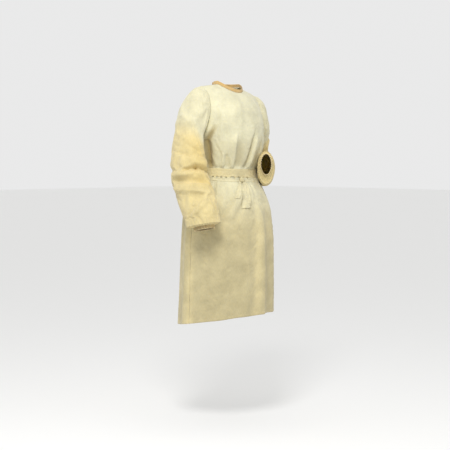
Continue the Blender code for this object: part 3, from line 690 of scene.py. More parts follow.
class Graph:
    """A short way to build a node tree."""

    def __init__(self, tree: Tree) -> None:
        """Keeps the tree."""
        self.tree = tree

    def add(self, kind: str, inputs: dict | None = None, **settings: object) -> Node:
        """Adds a node.

        Args:
            kind: The node's type.
            inputs: A value, or the socket to link from, for each input's name or number.
            settings: The node's own settings.

        Returns:
            The node.
        """
        node = self.tree.nodes.new(kind)
        for key, value in settings.items():
            setattr(node, key, value)
        for key, value in (inputs or {}).items():
            if isinstance(value, Socket):
                self.tree.links.new(value, node.inputs[key])
            else:
                node.inputs[key].default_value = value
        return node

    def maths(self, operation: str, *values: object) -> Socket:
        """One step of arithmetic."""
        return self.add("ShaderNodeMath", dict(enumerate(values)), operation=operation).outputs[0]

    def noise(self, where: Socket, scale: float, detail: float, **more: float) -> Socket:
        """The value of a noise texture at the places that a socket gives."""
        inputs = {"Vector": where, "Scale": scale, "Detail": detail, **more}
        return self.add("ShaderNodeTexNoise", inputs).outputs["Fac"]

    def mixed(self, share: Socket, first: Colour, second: Colour) -> Socket:
        """A colour between two, by the share that a socket gives."""
        inputs = {0: share, 6: (*first, 1.0), 7: (*second, 1.0)}
        return self.add("ShaderNodeMix", inputs, data_type="RGBA").outputs[2]

    def ranged(self, value: Socket, low: float, high: float, start: float = 0.0, end: float = 1.0) -> Socket:
        """A value that runs from low to high while the one given runs from start to end."""
        inputs = {"Value": value, "From Min": start, "From Max": end, "To Min": low, "To Max": high}
        return self.add("ShaderNodeMapRange", inputs).outputs[0]

    def bump(self, height: Socket, depth: float, **under: Socket) -> Socket:
        """The direction of a bump of that depth, on top of the one under it."""
        inputs = {"Height": height, "Strength": 1.0, "Distance": depth, **under}
        return self.add("ShaderNodeBump", inputs).outputs[0]


def new_material(name: str, inputs: dict[str, object]) -> tuple[Material, Graph, Node]:
    """Starts a material.

    Args:
        name: Its name.
        inputs: The value of each named input of its shader.

    Returns:
        The material, its graph and its shader.
    """
    material = bpy.data.materials.new(name)
    material.use_nodes = True
    shader = material.node_tree.nodes["Principled BSDF"]
    for key, value in inputs.items():
        shader.inputs[key].default_value = value
    return material, Graph(material.node_tree), shader


@dataclass(frozen=True)
class NonwovenFinish:
    """A soft nonwoven cloth: bonded fibres, cloudy in density, finely crinkled, warmer where doubled.

    Its warmer colour and its darkening are also painted shade, set by each point's warmth and hollow values.
    """

    name: str
    pale: Colour
    warm: Colour
    roughness: float = 0.86
    sheen: float = 0.18
    scatter: float = 0.10
    cloud_scale: float = 20.0
    cloud_depth: float = 0.22
    cloud_range: Pair = (0.35, 1.15)
    streak_scale: Point = (420.0, 90.0, 1.0)
    # How far painted shade at its fullest darkens the colour
    painted_shade_depth: float = 0.34
    bond_pitch: float = 0.0021
    bond_turn: float = 0.78
    bond_depth: float = 0.00008
    crinkle_scale: float = 46.0
    crinkle_depth: float = 0.0030
    fibre_scale: float = 1400.0
    fibre_depth: float = 0.00006

    def material(self) -> Material:
        """Builds the material.

        Returns:
            The material.
        """
        inputs = {
            "Roughness": self.roughness,
            "Specular IOR Level": 0.25,
            "Sheen Weight": self.sheen,
            "Sheen Roughness": 0.6,
            "Subsurface Weight": self.scatter,
            "Subsurface Radius": (0.006, 0.005, 0.003),
            "Subsurface Scale": 0.5,
        }
        material, graph, shader = new_material(self.name, inputs)
        where = graph.add("ShaderNodeTexCoord").outputs["Object"]
        cloth = graph.add("ShaderNodeUVMap", uv_map="cloth_map").outputs["UV"]
        warmth, hollow = (
            graph.add("ShaderNodeAttribute", attribute_name=title).outputs["Fac"]
            for title in ("warmth", "hollow")
        )
        cloud = graph.noise(where, self.cloud_scale, 3.0, Roughness=0.5)
        along = graph.add("ShaderNodeMapping", {"Vector": cloth, "Scale": self.streak_scale}).outputs[0]
        mottle = graph.maths("MULTIPLY_ADD", graph.noise(along, 1.0, 3.0), 0.5, cloud)
        level = graph.ranged(mottle, 1 - self.cloud_depth, 1 + self.cloud_depth, *self.cloud_range)
        # Painted shade: the hollow value darkens the colour, fully at 1
        both = graph.maths("MULTIPLY", level, graph.ranged(hollow, 1.0, 1 - self.painted_shade_depth))
        # The warmth mix gives the cloth's warmer tone and also painted shade
        tint = {0: graph.mixed(warmth, self.pale, self.warm), 1: both}
        tinted = graph.add("ShaderNodeVectorMath", tint, operation="MULTIPLY").outputs[0]
        graph.tree.links.new(tinted, shader.inputs["Base Color"])
        graph.tree.links.new(self.relief(graph, where, cloth), shader.inputs["Normal"])
        return material

    def relief(self, graph: Graph, where: Socket, cloth: Socket) -> Socket:
        """Builds the crinkles, bond points and fibres.

        Args:
            graph: The material's graph.
            where: The object's own coordinates.
            cloth: The cloth's own map.

        Returns:
            The socket with the direction.
        """
        crinkle = graph.noise(where, self.crinkle_scale, 4.0, Roughness=0.5, Distortion=0.5)
        turned = {
            "Vector": cloth,
            "Scale": (1 / self.bond_pitch, 1 / self.bond_pitch, 1.0),
            "Rotation": (0.0, 0.0, self.bond_turn),
        }
        grid = {"Vector": graph.add("ShaderNodeMapping", turned).outputs[0], "Scale": 1.0, "Randomness": 0.25}
        bond = graph.add("ShaderNodeTexVoronoi", grid, feature="F1").outputs["Distance"]
        first = graph.bump(crinkle, self.crinkle_depth)
        second = graph.bump(bond, self.bond_depth, Normal=first)
        return graph.bump(graph.noise(where, self.fibre_scale, 2.0), self.fibre_depth, Normal=second)


@dataclass(frozen=True)
class ThreadFinish:
    """Spun sewing thread."""

    name: str
    colour: Colour
    roughness: float = 0.6
    twist_scale: float = 2200.0
    twist_depth: float = 0.82

    def material(self) -> Material:
        """Builds the material.

        Returns:
            The material.
        """
        material, graph, shader = new_material(self.name, {"Roughness": self.roughness, "Sheen Weight": 0.2})
        twist = graph.noise(graph.add("ShaderNodeTexCoord").outputs["Object"], self.twist_scale, 2.0)
        dark = tuple(c * self.twist_depth for c in self.colour)
        graph.tree.links.new(graph.mixed(twist, dark, self.colour), shader.inputs["Base Color"])
        return material


# Form


@dataclass(frozen=True)
class GownForm:
    """The gown's sizes and smooth form, as the solids have it."""

    axis_y: float = 0.012
    armpit: float = -0.235
    top: float = 0.0
    hem: float = -0.950
    hem_fall_back: float = 0.15
    hem_fall_right: float = 0.03
    hem_slope_top: float = -0.60
    shoulder_tilt: float = 0.07
    tilt_low: float = -0.34
    tilt_high: float = -0.10
    belt_top: float = -0.341
    belt_low: float = -0.377
    wrap_low: float = -0.392
    flap_overlap: float = 22.5
    flap_lift: float = 0.0030
    flap_lift_hem: float = 0.007
    flap_ramp: Pair = (138.0, 156.0)
    neck_share: float = 0.5
    neck_round: float = 1.35
    corner_reach: float = 0.16
    shoulder_point: Point = (0.136, 0.016, -0.0235)
    neck_point: Point = (0.062, 0.006, -0.008)
    neck_front: Point = (0.0, -0.050, -0.038)
    neck_back: Point = (0.0, 0.066, -0.010)
    sections: tuple[Section, ...] = BODY_SECTIONS
    front_yoke: tuple[YokeRow, ...] = FRONT_YOKE
    back_yoke: tuple[YokeRow, ...] = BACK_YOKE
    sleeve_clearance: float = 0.0035
    belt_clearance: float = 0.0085
    belt_slope: float = 0.0055
    belt_tuck: float = 0.0050

    def section_points(self, section: Section, angle: Array) -> Array:
        """Points of a level section, which towards the hem falls to the back and to the right.

        Args:
            section: The section.
            angle: The angles.

        Returns:
            One point an angle.
        """
        turn = np.radians(angle)
        x = section.half_width * np.sin(turn)
        y = -np.where(np.cos(turn) > 0, section.front, section.back) * np.cos(turn)
        slope = smooth((self.hem_slope_top - section.level) / (self.hem_slope_top - self.hem))
        fall = (self.hem_fall_right * x - self.hem_fall_back * y) * slope
        return np.stack([x, self.axis_y + y, section.level + fall], axis=-1)

    @staticmethod
    def across(angle: Array) -> Array:
        """How far across a panel each angle is: 0 at its centre line, 1 or -1 at its side."""
        return np.degrees(np.arcsin(np.clip(np.sin(np.radians(angle)), -1, 1))) / 90

    def top_share_x(self, share: Array) -> Array:
        """The share of the shoulder's half-width along the top edge, where the neckline takes the middle.

        Args:
            share: How far across the panel each point is: 0 at its centre line, 1 or -1 at its side.

        Returns:
            How far out each point of the top edge is, as a share of the half-width.
        """
        neck = self.neck_point[0] / self.shoulder_point[0]
        inside = neck * np.sin(np.radians(90 * np.clip(share / self.neck_share, -1, 1)))
        beyond = (1 - neck) * np.clip((np.abs(share) - self.neck_share) / (1 - self.neck_share), 0, 1)
        return inside + np.sign(share) * beyond

    def yoke_points(self, row: YokeRow, angle: Array) -> Array:
        """Points of a row above the armpit, one an angle.

        Args:
            row: The row.
            angle: The angles.

        Returns:
            One point an angle.
        """
        share = self.across(angle)
        middle = np.cos(np.radians(90 * share))
        near = self.corner_reach * (1 - np.abs(share))
        softened = (self.top_share_x(share - near) + self.top_share_x(share + near)) / 2
        spread = (1 - row.top_share) * np.sin(np.radians(90 * share)) + row.top_share * softened
        y = row.edge_y + (row.centre_y - row.edge_y) * middle
        z = row.edge_z + (row.centre_z - row.edge_z) * middle**2
        return np.stack([row.edge_x * spread, y, z], axis=-1)

    def top_points(self, angle: Array, front: bool) -> Array:
        """Points of the top edge: the neckline in the middle and a shoulder seam on each side.

        Args:
            angle: The angles.
            front: True on the front panel.

        Returns:
            One point an angle.
        """
        share = self.across(angle)
        centre = self.neck_front if front else self.neck_back
        middle = np.cos(np.radians(90 * np.clip(share / self.neck_share, -1, 1)))
        seam = np.clip((np.abs(share) - self.neck_share) / (1 - self.neck_share), 0, 1)
        near, far = self.neck_point, self.shoulder_point
        y = near[1] + (centre[1] - near[1]) * middle + (far[1] - near[1]) * seam
        z = near[2] + (centre[2] - near[2]) * middle**self.neck_round + (far[2] - near[2]) * seam
        return np.stack([far[0] * self.top_share_x(share), y, z], axis=-1)

    def tilted(self, points: Array) -> Array:
        """The points with the shoulders tilted: the left one stands lower than the right one.

        Args:
            points: The points.

        Returns:
            The moved points.
        """
        moved = points.copy()
        share = smooth((points[..., 2] - self.tilt_low) / (self.tilt_high - self.tilt_low))
        moved[..., 2] -= self.shoulder_tilt * points[..., 0] * share
        return moved

    def plain(self, angle: Array, level: Array, front: bool) -> Array:
        """The smooth body before its tilt.

        Args:
            angle: The angles.
            level: The level at each angle.
            front: True on the front panel.

        Returns:
            One point an angle.
        """
        rows = self.front_yoke if front else self.back_yoke
        knots = [s.level for s in self.sections] + [r.level for r in rows] + [self.top]
        values = [self.section_points(s, angle) for s in self.sections]
        values += [self.yoke_points(r, angle) for r in rows]
        values.append(self.top_points(angle, front))
        ease = smooth((np.abs(self.across(angle)) - 0.5) / 0.35)
        return spline(knots, np.array(values), level, len(self.sections) - 1, ease)

    def body(self, angle: Array, level: Array, front: bool) -> tuple[Array, Array]:
        """The smooth body with its tilt.

        Args:
            angle: The angles.
            level: The level at each angle.
            front: True on the front panel.

        Returns:
            The points and their outward directions.
        """
        low, high = (-90.0, 90.0) if front else (90.0, 270.0)
        near = np.clip(angle, low + STEP_TURN, high - STEP_TURN)
        inside = np.clip(level, self.hem + STEP_RISE, self.top - STEP_RISE)

        def at(turn: float, rise: float) -> Array:
            """The plain form's points a turn and a rise away."""
            return self.tilted(self.plain(near + turn, inside + rise, front))

        up = at(0.0, STEP_RISE) - at(0.0, -STEP_RISE)
        round_it = at(STEP_TURN, 0.0) - at(-STEP_TURN, 0.0)
        return self.tilted(self.plain(angle, level, front)), unit(np.cross(round_it, up))

    def lift(self, angle: Array, level: Array) -> Array:
        """How far the left back panel stands off where it laps over the right one.

        Args:
            angle: The angles.
            level: The level at each angle.

        Returns:
            One distance a place.
        """
        lap = smooth((angle - self.flap_ramp[0]) / (self.flap_ramp[1] - self.flap_ramp[0]))
        loose = smooth((angle - 180) / self.flap_overlap) * smooth((self.belt_low - level) / 0.4)
        return self.flap_lift * lap + self.flap_lift_hem * loose

    def lapped(self, points: Array, ways: Array, angle: Array, level: Array) -> Array:
        """Points of the left back panel, moved out where it laps over the right one."""
        return points + unit(ways * LEVEL_WAY) * self.lift(angle, level)[:, None]

    def belt_shift(self, angle: Array) -> Array:
        """How far the sloping belt stands above or below its own level at each angle."""
        return -self.belt_slope * np.sin(np.radians(angle) + math.pi / 4)

    def tucked(self, angle: Array, level: Array) -> Array:
        """How deep the cloth is drawn in between the belt and the tie's turn."""
        away = level - self.belt_low - self.belt_shift(angle)
        return self.belt_tuck * bell(away, 0.0035)

    def armhole(self, ring_angle: Array) -> Array:
        """The armhole's edge on the +X side: 0 top, 90 front, 180 armpit.

        Args:
            ring_angle: The angles round it.

        Returns:
            One point an angle.
        """
        level = self.armpit * np.where(ring_angle <= 180, ring_angle, 360 - ring_angle) / 180
        side = np.full_like(level, 90.0)
        front, back = self.plain(side, level, True), self.plain(side, level, False)
        return np.where((ring_angle <= 180)[:, None], front, back)

    def sleeve(self, rings: tuple[Ring, ...], ring_angle: Array, along: Array) -> Array:
        """The smooth sleeve on the +X side, from the armhole, one ring a step.

        Args:
            rings: The sleeve's rings.
            ring_angle: The angles.
            along: How far along each point is.

        Returns:
            One point an angle.
        """
        wrapped = ring_angle % 360
        values = [self.armhole(wrapped)] + [ring_points(r, wrapped) for r in rings]
        return spline(np.arange(len(values)), np.array(values), along)

    def clear_of_body(self, points: Array) -> Array:
        """Moves the points of a sleeve that would reach into the body or its belt out to just clear of it.

        Args:
            points: The sleeve's points.

        Returns:
            The points, clear of the body.
        """
        levels = [s.level for s in self.sections]
        z = points[..., 2]
        side, front, back = (
            np.interp(z, levels, [getattr(s, size) for s in self.sections])
            for size in ("half_width", "front", "back")
        )
        x, y = points[..., 0], points[..., 1] - self.axis_y
        reach = np.sqrt((x / side) ** 2 + (y / np.where(y < 0, front, back)) ** 2)
        belt = smooth(1.6 - np.abs(z - (self.belt_top + self.wrap_low) / 2) / 0.03)
        clearance = self.sleeve_clearance + (self.belt_clearance - self.sleeve_clearance) * belt
        wanted = 1 + clearance / np.maximum(np.hypot(x, y) / np.maximum(reach, 1e-6), 1e-6)
        scale = np.where((reach < wanted) & (z < self.armpit), wanted / np.maximum(reach, 1e-6), 1.0)
        return np.stack([x * scale, y * scale + self.axis_y, z], axis=-1)


def ring_points(ring: Ring, ring_angle: Array) -> Array:
    """Points of an oval ring at each angle."""
    turn = np.radians(ring_angle)[:, None]
    return np.array(ring.centre) + np.array(ring.outer) * np.cos(turn) + np.array(ring.front) * np.sin(turn)


# Settling


@dataclass(frozen=True)
class Settling:
    """How a stretch of cloth settles: a short simulation of slightly long cloth, held at its seams."""

    frames: int = 18
    excess: float = 0.022
    hold: float = 0.10
    bending: float = 0.35
    cap: float = 0.0075
    weight: float = 0.35

    def run(self, points: Array, faces: Array, held: Array) -> Array:
        """Lets the cloth settle.

        Args:
            points: Where the cloth starts.
            faces: Its quads.
            held: How firmly each point is held, from 0 to 1.

        Returns:
            How far each point moved.
        """
        item = link_mesh("settling", points, faces.tolist())
        group = item.vertex_groups.new(name="held")
        grip = np.round(np.maximum(held, self.hold), 2)
        for weight in np.unique(grip):
            group.add(np.flatnonzero(grip == weight).tolist(), float(weight), "REPLACE")
        cloth = item.modifiers.new("cloth", "CLOTH")
        sizes = cloth.settings
        sizes.quality = 5
        sizes.mass = 0.12
        sizes.tension_stiffness = sizes.compression_stiffness = 12.0
        sizes.shear_stiffness = 4.0
        sizes.bending_stiffness = self.bending
        sizes.air_damping = 2.0
        sizes.shrink_min = -self.excess
        sizes.vertex_group_mass = "held"
        sizes.effector_weights.gravity = self.weight
        cloth.collision_settings.use_collision = False
        cloth.collision_settings.use_self_collision = False
        scene = bpy.context.scene
        cloth.point_cache.frame_start, cloth.point_cache.frame_end = 1, self.frames
        for frame in range(1, self.frames + 1):
            scene.frame_set(frame)
        graph = bpy.context.evaluated_depsgraph_get()
        moved = np.empty(len(points) * 3, np.float32)
        item.evaluated_get(graph).data.vertices.foreach_get("co", moved)
        mesh = item.data
        bpy.data.objects.remove(item)
        bpy.data.meshes.remove(mesh)
        scene.frame_set(1)
        step = moved.reshape(-1, 3).astype(float) - points
        length = np.linalg.norm(step, axis=1, keepdims=True)
        return step * (self.cap * np.tanh(length / self.cap) / np.maximum(length, 1e-9))


# Body


@dataclass
class BodyCloth:
    """The front, the two backs and all that lies on them share this surface."""

    form: GownForm
    gathers: tuple[Gathers, ...] = (
        Gathers(46, 5, -0.338, 1.0, (0.008, 0.034), 0.0040, 0.0022, 3.0),
        Gathers(44, 8, -0.394, -1.0, (0.014, 0.060), 0.0050, 0.0026, 3.0),
        Gathers(24, 11, -0.400, -1.0, (0.080, 0.240), 0.0110, 0.0020, 3.0),
    )
    settling: Settling = field(default_factory=lambda: Settling(excess=0.014, hold=0.16, cap=0.0045))
    chest_hold: float = 0.45
    fold_hold: float = 0.75
    sim_columns: int = 192
    sim_rows: int = 160
    ray_start: float = 0.012
    ray_reach: float = 0.030
    sleeve_low: float = -0.66
    sleeve_gap: float = 0.0014
    moved_front: Array | None = None
    moved_back: Array | None = None
    folds: list[Fold] = field(default_factory=list)

    def __post_init__(self) -> None:
        """Lists every fold once."""
        self.folds = [*MAIN_BODY_FOLDS, *FINE_BODY_FOLDS]
        for gathers in self.gathers:
            self.folds += gathers.folds()

    def relief(self, angle: Array, level: Array) -> Array:
        """The height of the folds, fading out at the armholes, neckline and belt.

        Args:
            angle: The angles.
            level: The levels.

        Returns:
            One height a place.
        """
        height = fold_heights(self.folds, angle, level, radius=0.15, pitch=1.0)
        edge = 1 - np.abs(self.form.across(angle))
        above = smooth((level - self.form.armpit + 0.03) / 0.03)
        fade = 1 - above * (1 - smooth(edge / 0.15))
        return height * fade * smooth((self.form.top - level) / 0.05) * (1 - self.under_belt(angle, level))

    def under_belt(self, angle: Array, level: Array) -> Array:
        """How far the cloth is pressed flat by the belt and the tie: 1 under them.

        Args:
            angle: The angles.
            level: The level at each angle.

        Returns:
            One value a place, from 0 to 1.
        """
        form = self.form
        level = level - form.belt_shift(angle)
        above = smooth((level - form.wrap_low + 0.009) / 0.008)
        return above * smooth((form.belt_top + 0.009 - level) / 0.008)

    def surface(self, angle: Array, level: Array, front: bool) -> tuple[Array, Array]:
        """The cloth with its folds, settled once settle() has run.

        Args:
            angle: The angles.
            level: The levels.
            front: True on the front panel.

        Returns:
            The points and the smooth body's outward directions.
        """
        points, normals = self.form.body(angle, level, front)
        points = points + normals * self.relief(angle, level)[:, None]
        moved = self.moved_front if front else self.moved_back
        if moved is not None:
            start = -90.0 if front else 90.0
            row = (level - self.form.hem) / (self.form.top - self.form.hem) * (moved.shape[0] - 1)
            column = (angle - start) / 180 * (moved.shape[1] - 1)
            points = points + read_cubic(moved, row, column, closed=False)
        return points, normals

    def settle(self) -> None:
        """Settles the body as one tube, held at its belt, neckline, shoulders and armholes."""
        half = self.sim_columns // 2 + 1
        levels = np.linspace(self.form.hem, self.form.top, self.sim_rows)
        grids, holds = [], []
        for start, front in ((-90.0, True), (90.0, False)):
            level, angle = places(levels, start + np.linspace(0, 180, half))
            grids.append(self.surface(angle, level, front)[0])
            edge = 1 - np.abs(self.form.across(angle))
            above = smooth((level - self.form.armpit + 0.015) / 0.015)
            neck = smooth((level - self.form.top + 0.03) / 0.02)
            hold = np.maximum(above * (1 - smooth(edge / 0.05)), neck)
            hold = np.maximum(hold, self.under_belt(angle, level))
            hold = np.maximum(hold, self.fold_hold * smooth(np.abs(self.relief(angle, level)) / 0.006))
            chest = self.chest_hold * smooth((level - self.form.belt_top + 0.02) / 0.05)
            holds.append(np.maximum(hold, chest))
        points = np.concatenate(grids)
        place = np.arange(len(points)).reshape(2, self.sim_rows, half)
        place[1, :, 0], place[1, :, -1] = place[0, :, -1].copy(), place[0, :, 0].copy()
        _, first, number = np.unique(place.ravel(), return_index=True, return_inverse=True)
        quads = grid_faces(self.sim_rows, half, closed=False)
        faces = number[np.concatenate([quads, quads + len(grids[0])])]
        moved = self.settling.run(points[first], faces, np.concatenate(holds)[first])[number]
        firm = np.concatenate(holds)[:, None]
        moved *= 1 - smooth((firm - 0.5) / 0.5)
        shape = (self.sim_rows, half, 3)
        self.moved_front = moved[: len(grids[0])].reshape(shape)
        self.moved_back = moved[len(grids[0]) :].reshape(shape)

    def kept_off(
        self, points: Array, angle: Array, level: Array, front: bool, sleeves: list[BVHTree]
    ) -> Array:
        """Draws the cloth in where it would touch a sleeve.

        Args:
            points: The cloth's points.
            angle: Their angles.
            level: Their levels.
            front: True on the front panel.
            sleeves: The sleeves as trees.

        Returns:
            The points, drawn in.
        """
        start, normals = self.form.body(angle, level, front)
        start = start - normals * self.ray_start
        moved = points.copy()
        near = np.flatnonzero((level < self.form.armpit + 0.02) & (level > self.sleeve_low))
        for i in near:
            origin, way = Vector(start[i]), Vector(normals[i])
            for tree in sleeves:
                hit = tree.ray_cast(origin, way, self.ray_reach)
                if hit[0] is not None:
                    spare = float((points[i] - start[i]) @ normals[i]) - (hit[3] - self.sleeve_gap)
                    if spare > 0:
                        moved[i] -= normals[i] * spare
        return moved


@dataclass
class Panels:
    """The front panel and the two back panels, sewn at the sides and shoulders and lapped behind."""

    cloth: BodyCloth
    finish: Material
    step: float = 1.25
    rows: int = 208
    thick: float = 0.0007
    hem_width: float = 0.014
    hem_thick: float = 0.0006
    fold_edge: float = 0.002
    # The trough depth at which the painted shade in the belly's folds is deepest
    deep_fold: float = 0.012
    front_flat: Pair = (0.66, 0.98)
    front_area: float = 0.48
    back_flat: Pair = (0.42, 1.00)
    back_area: float = 0.31

    def build(self, sleeves: list[BVHTree]) -> list[Item]:
        """Builds the three panels.

        Args:
            sleeves: The sleeves as trees, which the panels keep off.

        Returns:
            The front, the left back and the right back.
        """
        lap = self.cloth.form.flap_overlap
        made = [
            self.panel("gown_front", -90.0, 90.0, True, False, sleeves),
            self.panel("gown_back_left", 90.0, 180 + lap, False, True, sleeves),
            self.panel("gown_back_right", 180 - lap, 270.0, False, False, sleeves),
        ]
        nodes = ("front_panel", "back_panel_left", "back_panel_right")
        for item, node in zip(made, nodes):
            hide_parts(node)
        return made

    def panel(
        self, name: str, low: float, high: float, front: bool, lapped: bool, sleeves: list[BVHTree]
    ) -> Item:
        """Builds one panel.

        Args:
            name: Its name.
            low: The angle where it starts.
            high: The angle where it ends.
            front: True for the front panel.
            lapped: True for the back panel that laps over the other.
            sleeves: The sleeves as trees.

        Returns:
            The panel.
        """
        form = self.cloth.form
        angles = np.linspace(low, high, round((high - low) / self.step) + 1)
        levels = np.linspace(form.hem, form.top, self.rows)
        level, angle = places(levels, angles)
        points, normals = self.cloth.surface(angle, level, front)
        points = self.cloth.kept_off(points, angle, level, front, sleeves)
        points = points - normals * form.tucked(angle, level)[:, None]
        if lapped:
            points = form.lapped(points, normals, angle, level)
        shape = (len(levels), len(angles), 3)
        outside = points.reshape(shape)
        ways = sheet_normals(outside, closed=False)
        hem = smooth((form.hem + self.hem_width - level) / self.fold_edge)
        if not front:
            away = np.abs(angle - (high if lapped else low)) * math.radians(1) * BODY_RADIUS
            hem = np.maximum(hem, smooth((self.hem_width - away) / self.fold_edge))
        extra = (hem * self.hem_thick).reshape(shape[:2])[..., None]
        outside = outside + ways * extra
        inside = outside - ways * (self.thick + extra)
        # Painted shade: the warmth and hollow values that tones works out
        warmth, hollow = self.tones(angle, level, hem)
        flat = (math.radians(high - low) * 0.18, form.top - form.hem)
        return make_wall(name, outside, inside, self.finish, flat, warmth, hollow=hollow)

    def tones(self, angle: Array, level: Array, hem: Array) -> tuple[Array, Array]:
        """How warm the cloth's colour is and how much painted shade darkens it.

        Both are mostly painted shade: they grow towards the hem, in a painted shadow of the hanging sleeve on
        the cloth beside it and over the belly above the belt, most in its fold troughs. The painted shade is
        lighter, a painted light, along the centre crease and the side seams, where the seam allowances also
        lie double, and at the hems.

        Args:
            angle: The angles.
            level: The levels.
            hem: Where the hems are, from 0 to 1.

        Returns:
            The two values at each place.
        """
        seam = 90 * (1 - np.abs(self.cloth.form.across(angle)))
        # Painted light: the painted shade is lessened along the centre crease and the side seams
        doubled = 0.75 * bell(angle + 1.5, 6.0) + 0.75 * bell(seam, 6.0)
        skirt = smooth((-0.37 - level) / 0.30)
        # Painted shadow of the hanging sleeve on the cloth beside it
        arm_shadow = bell(seam - 20, 7) * smooth((-0.16 - level) / 0.05) * smooth((level + 0.36) / 0.03)
        # Painted shade over the belly above the belt, deepened in the fold troughs just below
        belly_shade = smooth((-0.20 - level) / 0.06) * smooth((level + 0.345) / 0.02)
        troughs = np.clip(-self.cloth.relief(angle, level) / self.deep_fold, 0, 1)
        loose = belly_shade * (0.16 + 0.45 * troughs)
        # Warmer towards the hem, beside the sleeve and over the belly is painted shade; the small rise at
        # seams and hems is the double layers' own tone
        warmth = 0.52 * smooth((-0.36 - level) / 0.25) + 0.10 * doubled * skirt + 0.05 * hem
        warmth += 0.85 * arm_shadow + 0.6 * loose
        # The second value is painted shade, darker towards the hem
        return warmth, 0.65 * skirt * (1 - doubled) * (1 - 0.2 * hem) + 1.4 * arm_shadow + loose


@dataclass
class Sleeve:
    """A set-in sleeve, gathered into its cuff's elastic band."""

    form: GownForm
    side: Side
    rings: tuple[Ring, ...]
    folds: tuple[Fold, ...]
    cuff: Ring
    way: Point
    flat: Pair
    area: float
    warm_from: float
    finish: Material
    trim: Material
    settling: Settling = field(default_factory=lambda: Settling(excess=0.03, hold=0.08, cap=0.0065))
    map_size: Pair = (0.46, 0.60)
    fold_hold: float = 0.85
    columns: int = 128
    steps: int = 22
    end_rows: int = 9
    thick: float = 0.0007
    gathers: int = 26
    gather_depth: float = 0.0015
    gather_reach: float = 0.9
    gather_lift: float = 0.0014
    turn_depth: float = 0.0040
    puckers: int = 31
    pucker_depth: float = 0.0011
    band_width: float = 0.0125
    band_thick: float = 0.0018
    pitch: float = 0.062
    radius: float = 0.065

    def name(self, what: str) -> str:
        """A piece's name, with its side."""
        return f"gown_{what}_{self.side.name.lower()}"

    def wave(self, ring_angle: Array) -> Array:
        """The cuff's uneven gathers: a wave between -1 and 1."""
        turn = np.radians(ring_angle)
        return np.cos(turn * self.gathers + 0.9 * np.sin(3 * turn))

    def grid(self, columns: int, steps: int) -> tuple[Array, Array, Array]:
        """The sleeve's grid on the +X side with its folds, from the armhole to its last ring.

        Args:
            columns: Points round it.
            steps: Rows a ring.

        Returns:
            The points, as rows by columns by 3, and each place's angle and rings along.
        """
        rings = len(self.rings)
        rows = rings * steps + 1
        along, angle = places(np.linspace(0, rings, rows), np.arange(columns) * 360 / columns)
        near = np.clip(along, 0.002, rings - 0.002)

        def at(turn: float, rise: float) -> Array:
            """The form's points a turn and a rise away."""
            return self.form.sleeve(self.rings, angle + turn, near + rise)

        up = at(0.0, STEP_RISE) - at(0.0, -STEP_RISE)
        normals = unit(np.cross(at(STEP_TURN, 0.0) - at(-STEP_TURN, 0.0), up))
        height = fold_heights(self.folds, angle, along, self.radius, self.pitch) * smooth(along / 0.8)
        drawn = smooth((along - rings + self.gather_reach) / self.gather_reach) ** 2
        height += self.gather_depth * self.wave(angle) * drawn
        turn = np.radians(angle)
        pucker = bell(along, 0.22) * smooth(along / 0.05)
        height += self.pucker_depth * pucker * np.cos(turn * self.puckers + 1.3 * np.sin(turn * 4))
        plain = self.form.sleeve(self.rings, angle, along)
        points = self.form.clear_of_body(plain + normals * height[:, None])
        return points.reshape(rows, columns, 3), angle, along

    def settled(self, points: Array) -> Array:
        """The sleeve's points after it settles, read back at the grid's own places.

        Args:
            points: The fine grid.

        Returns:
            The grid, settled.
        """
        columns, steps = self.columns // 2, self.steps // 2
        coarse, turn, where = self.grid(columns, steps)
        hold = np.maximum(1 - smooth(where / 0.35), smooth((where - len(self.rings) + 0.45) / 0.35))
        depth = np.abs(fold_heights(self.folds, turn, where, self.radius, self.pitch))
        hold = np.maximum(hold, self.fold_hold * smooth(depth / 0.007))
        faces = grid_faces(coarse.shape[0], columns, closed=True)
        moved = self.settling.run(coarse.reshape(-1, 3), faces, hold)
        moved = (moved * (1 - smooth((hold[:, None] - 0.5) / 0.5))).reshape(coarse.shape)
        row, column = places(*(np.arange(count) / 2 for count in points.shape[:2]))
        return points + read_cubic(moved, row, column, closed=True).reshape(points.shape)

    def build(self) -> tuple[Item, Item]:
        """Builds the sleeve and its cuff.

        Returns:
            The sleeve and the cuff.
        """
        points = self.grid(self.columns, self.steps)[0]
        points = self.form.clear_of_body(self.settled(points))
        mirror = np.array((self.side.value, 1, 1))
        points = self.form.tilted(points * mirror)
        forward = unit(np.array(self.way) * mirror)
        ring_angle = np.arange(self.columns) * 360 / self.columns
        edge = ring_points(self.cuff, ring_angle)
        out = unit(edge - np.array(self.cuff.centre))
        edge = (edge + out * self.gather_depth * self.wave(ring_angle)[:, None]) * mirror
        shares = np.linspace(0, 1, self.end_rows + 1)[1:, None, None]
        turn_in = points[-1] + (edge - points[-1]) * (1 - np.cos(shares * math.pi / 2))
        depth = self.gather_lift * self.wave(ring_angle)[:, None] - self.turn_depth
        turn_in = turn_in + forward * np.sin(shares * math.pi) * depth
        outside = np.concatenate([points, turn_in])
        outside[0] += unit(outside[1] - outside[0]) * SEAM_GAP * 1.4
        inside = outside - sheet_normals(outside, closed=True, sign=self.side.value) * self.thick
        rows = np.arange(outside.shape[0])[:, None] / self.steps * np.ones(self.columns)
        # The sleeve turns warmer from ring warm_from down. Its front, down to the elbow crease band, is
        # warmer still: partly the skin showing through, partly painted shade
        ahead = bell(ring_angle - 90, 50) * smooth((6.9 - rows) / 0.8)
        warmth = 0.08 + smooth((rows - self.warm_from) / 1.2) * (0.68 + 0.26 * ahead)
        sleeve = make_wall(
            self.name("sleeve"), outside, inside, self.finish, self.map_size, warmth, closed=True
        )
        cuff = self.band(forward)
        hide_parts(f"sleeve_{self.side.name.lower()}")
        return sleeve, cuff

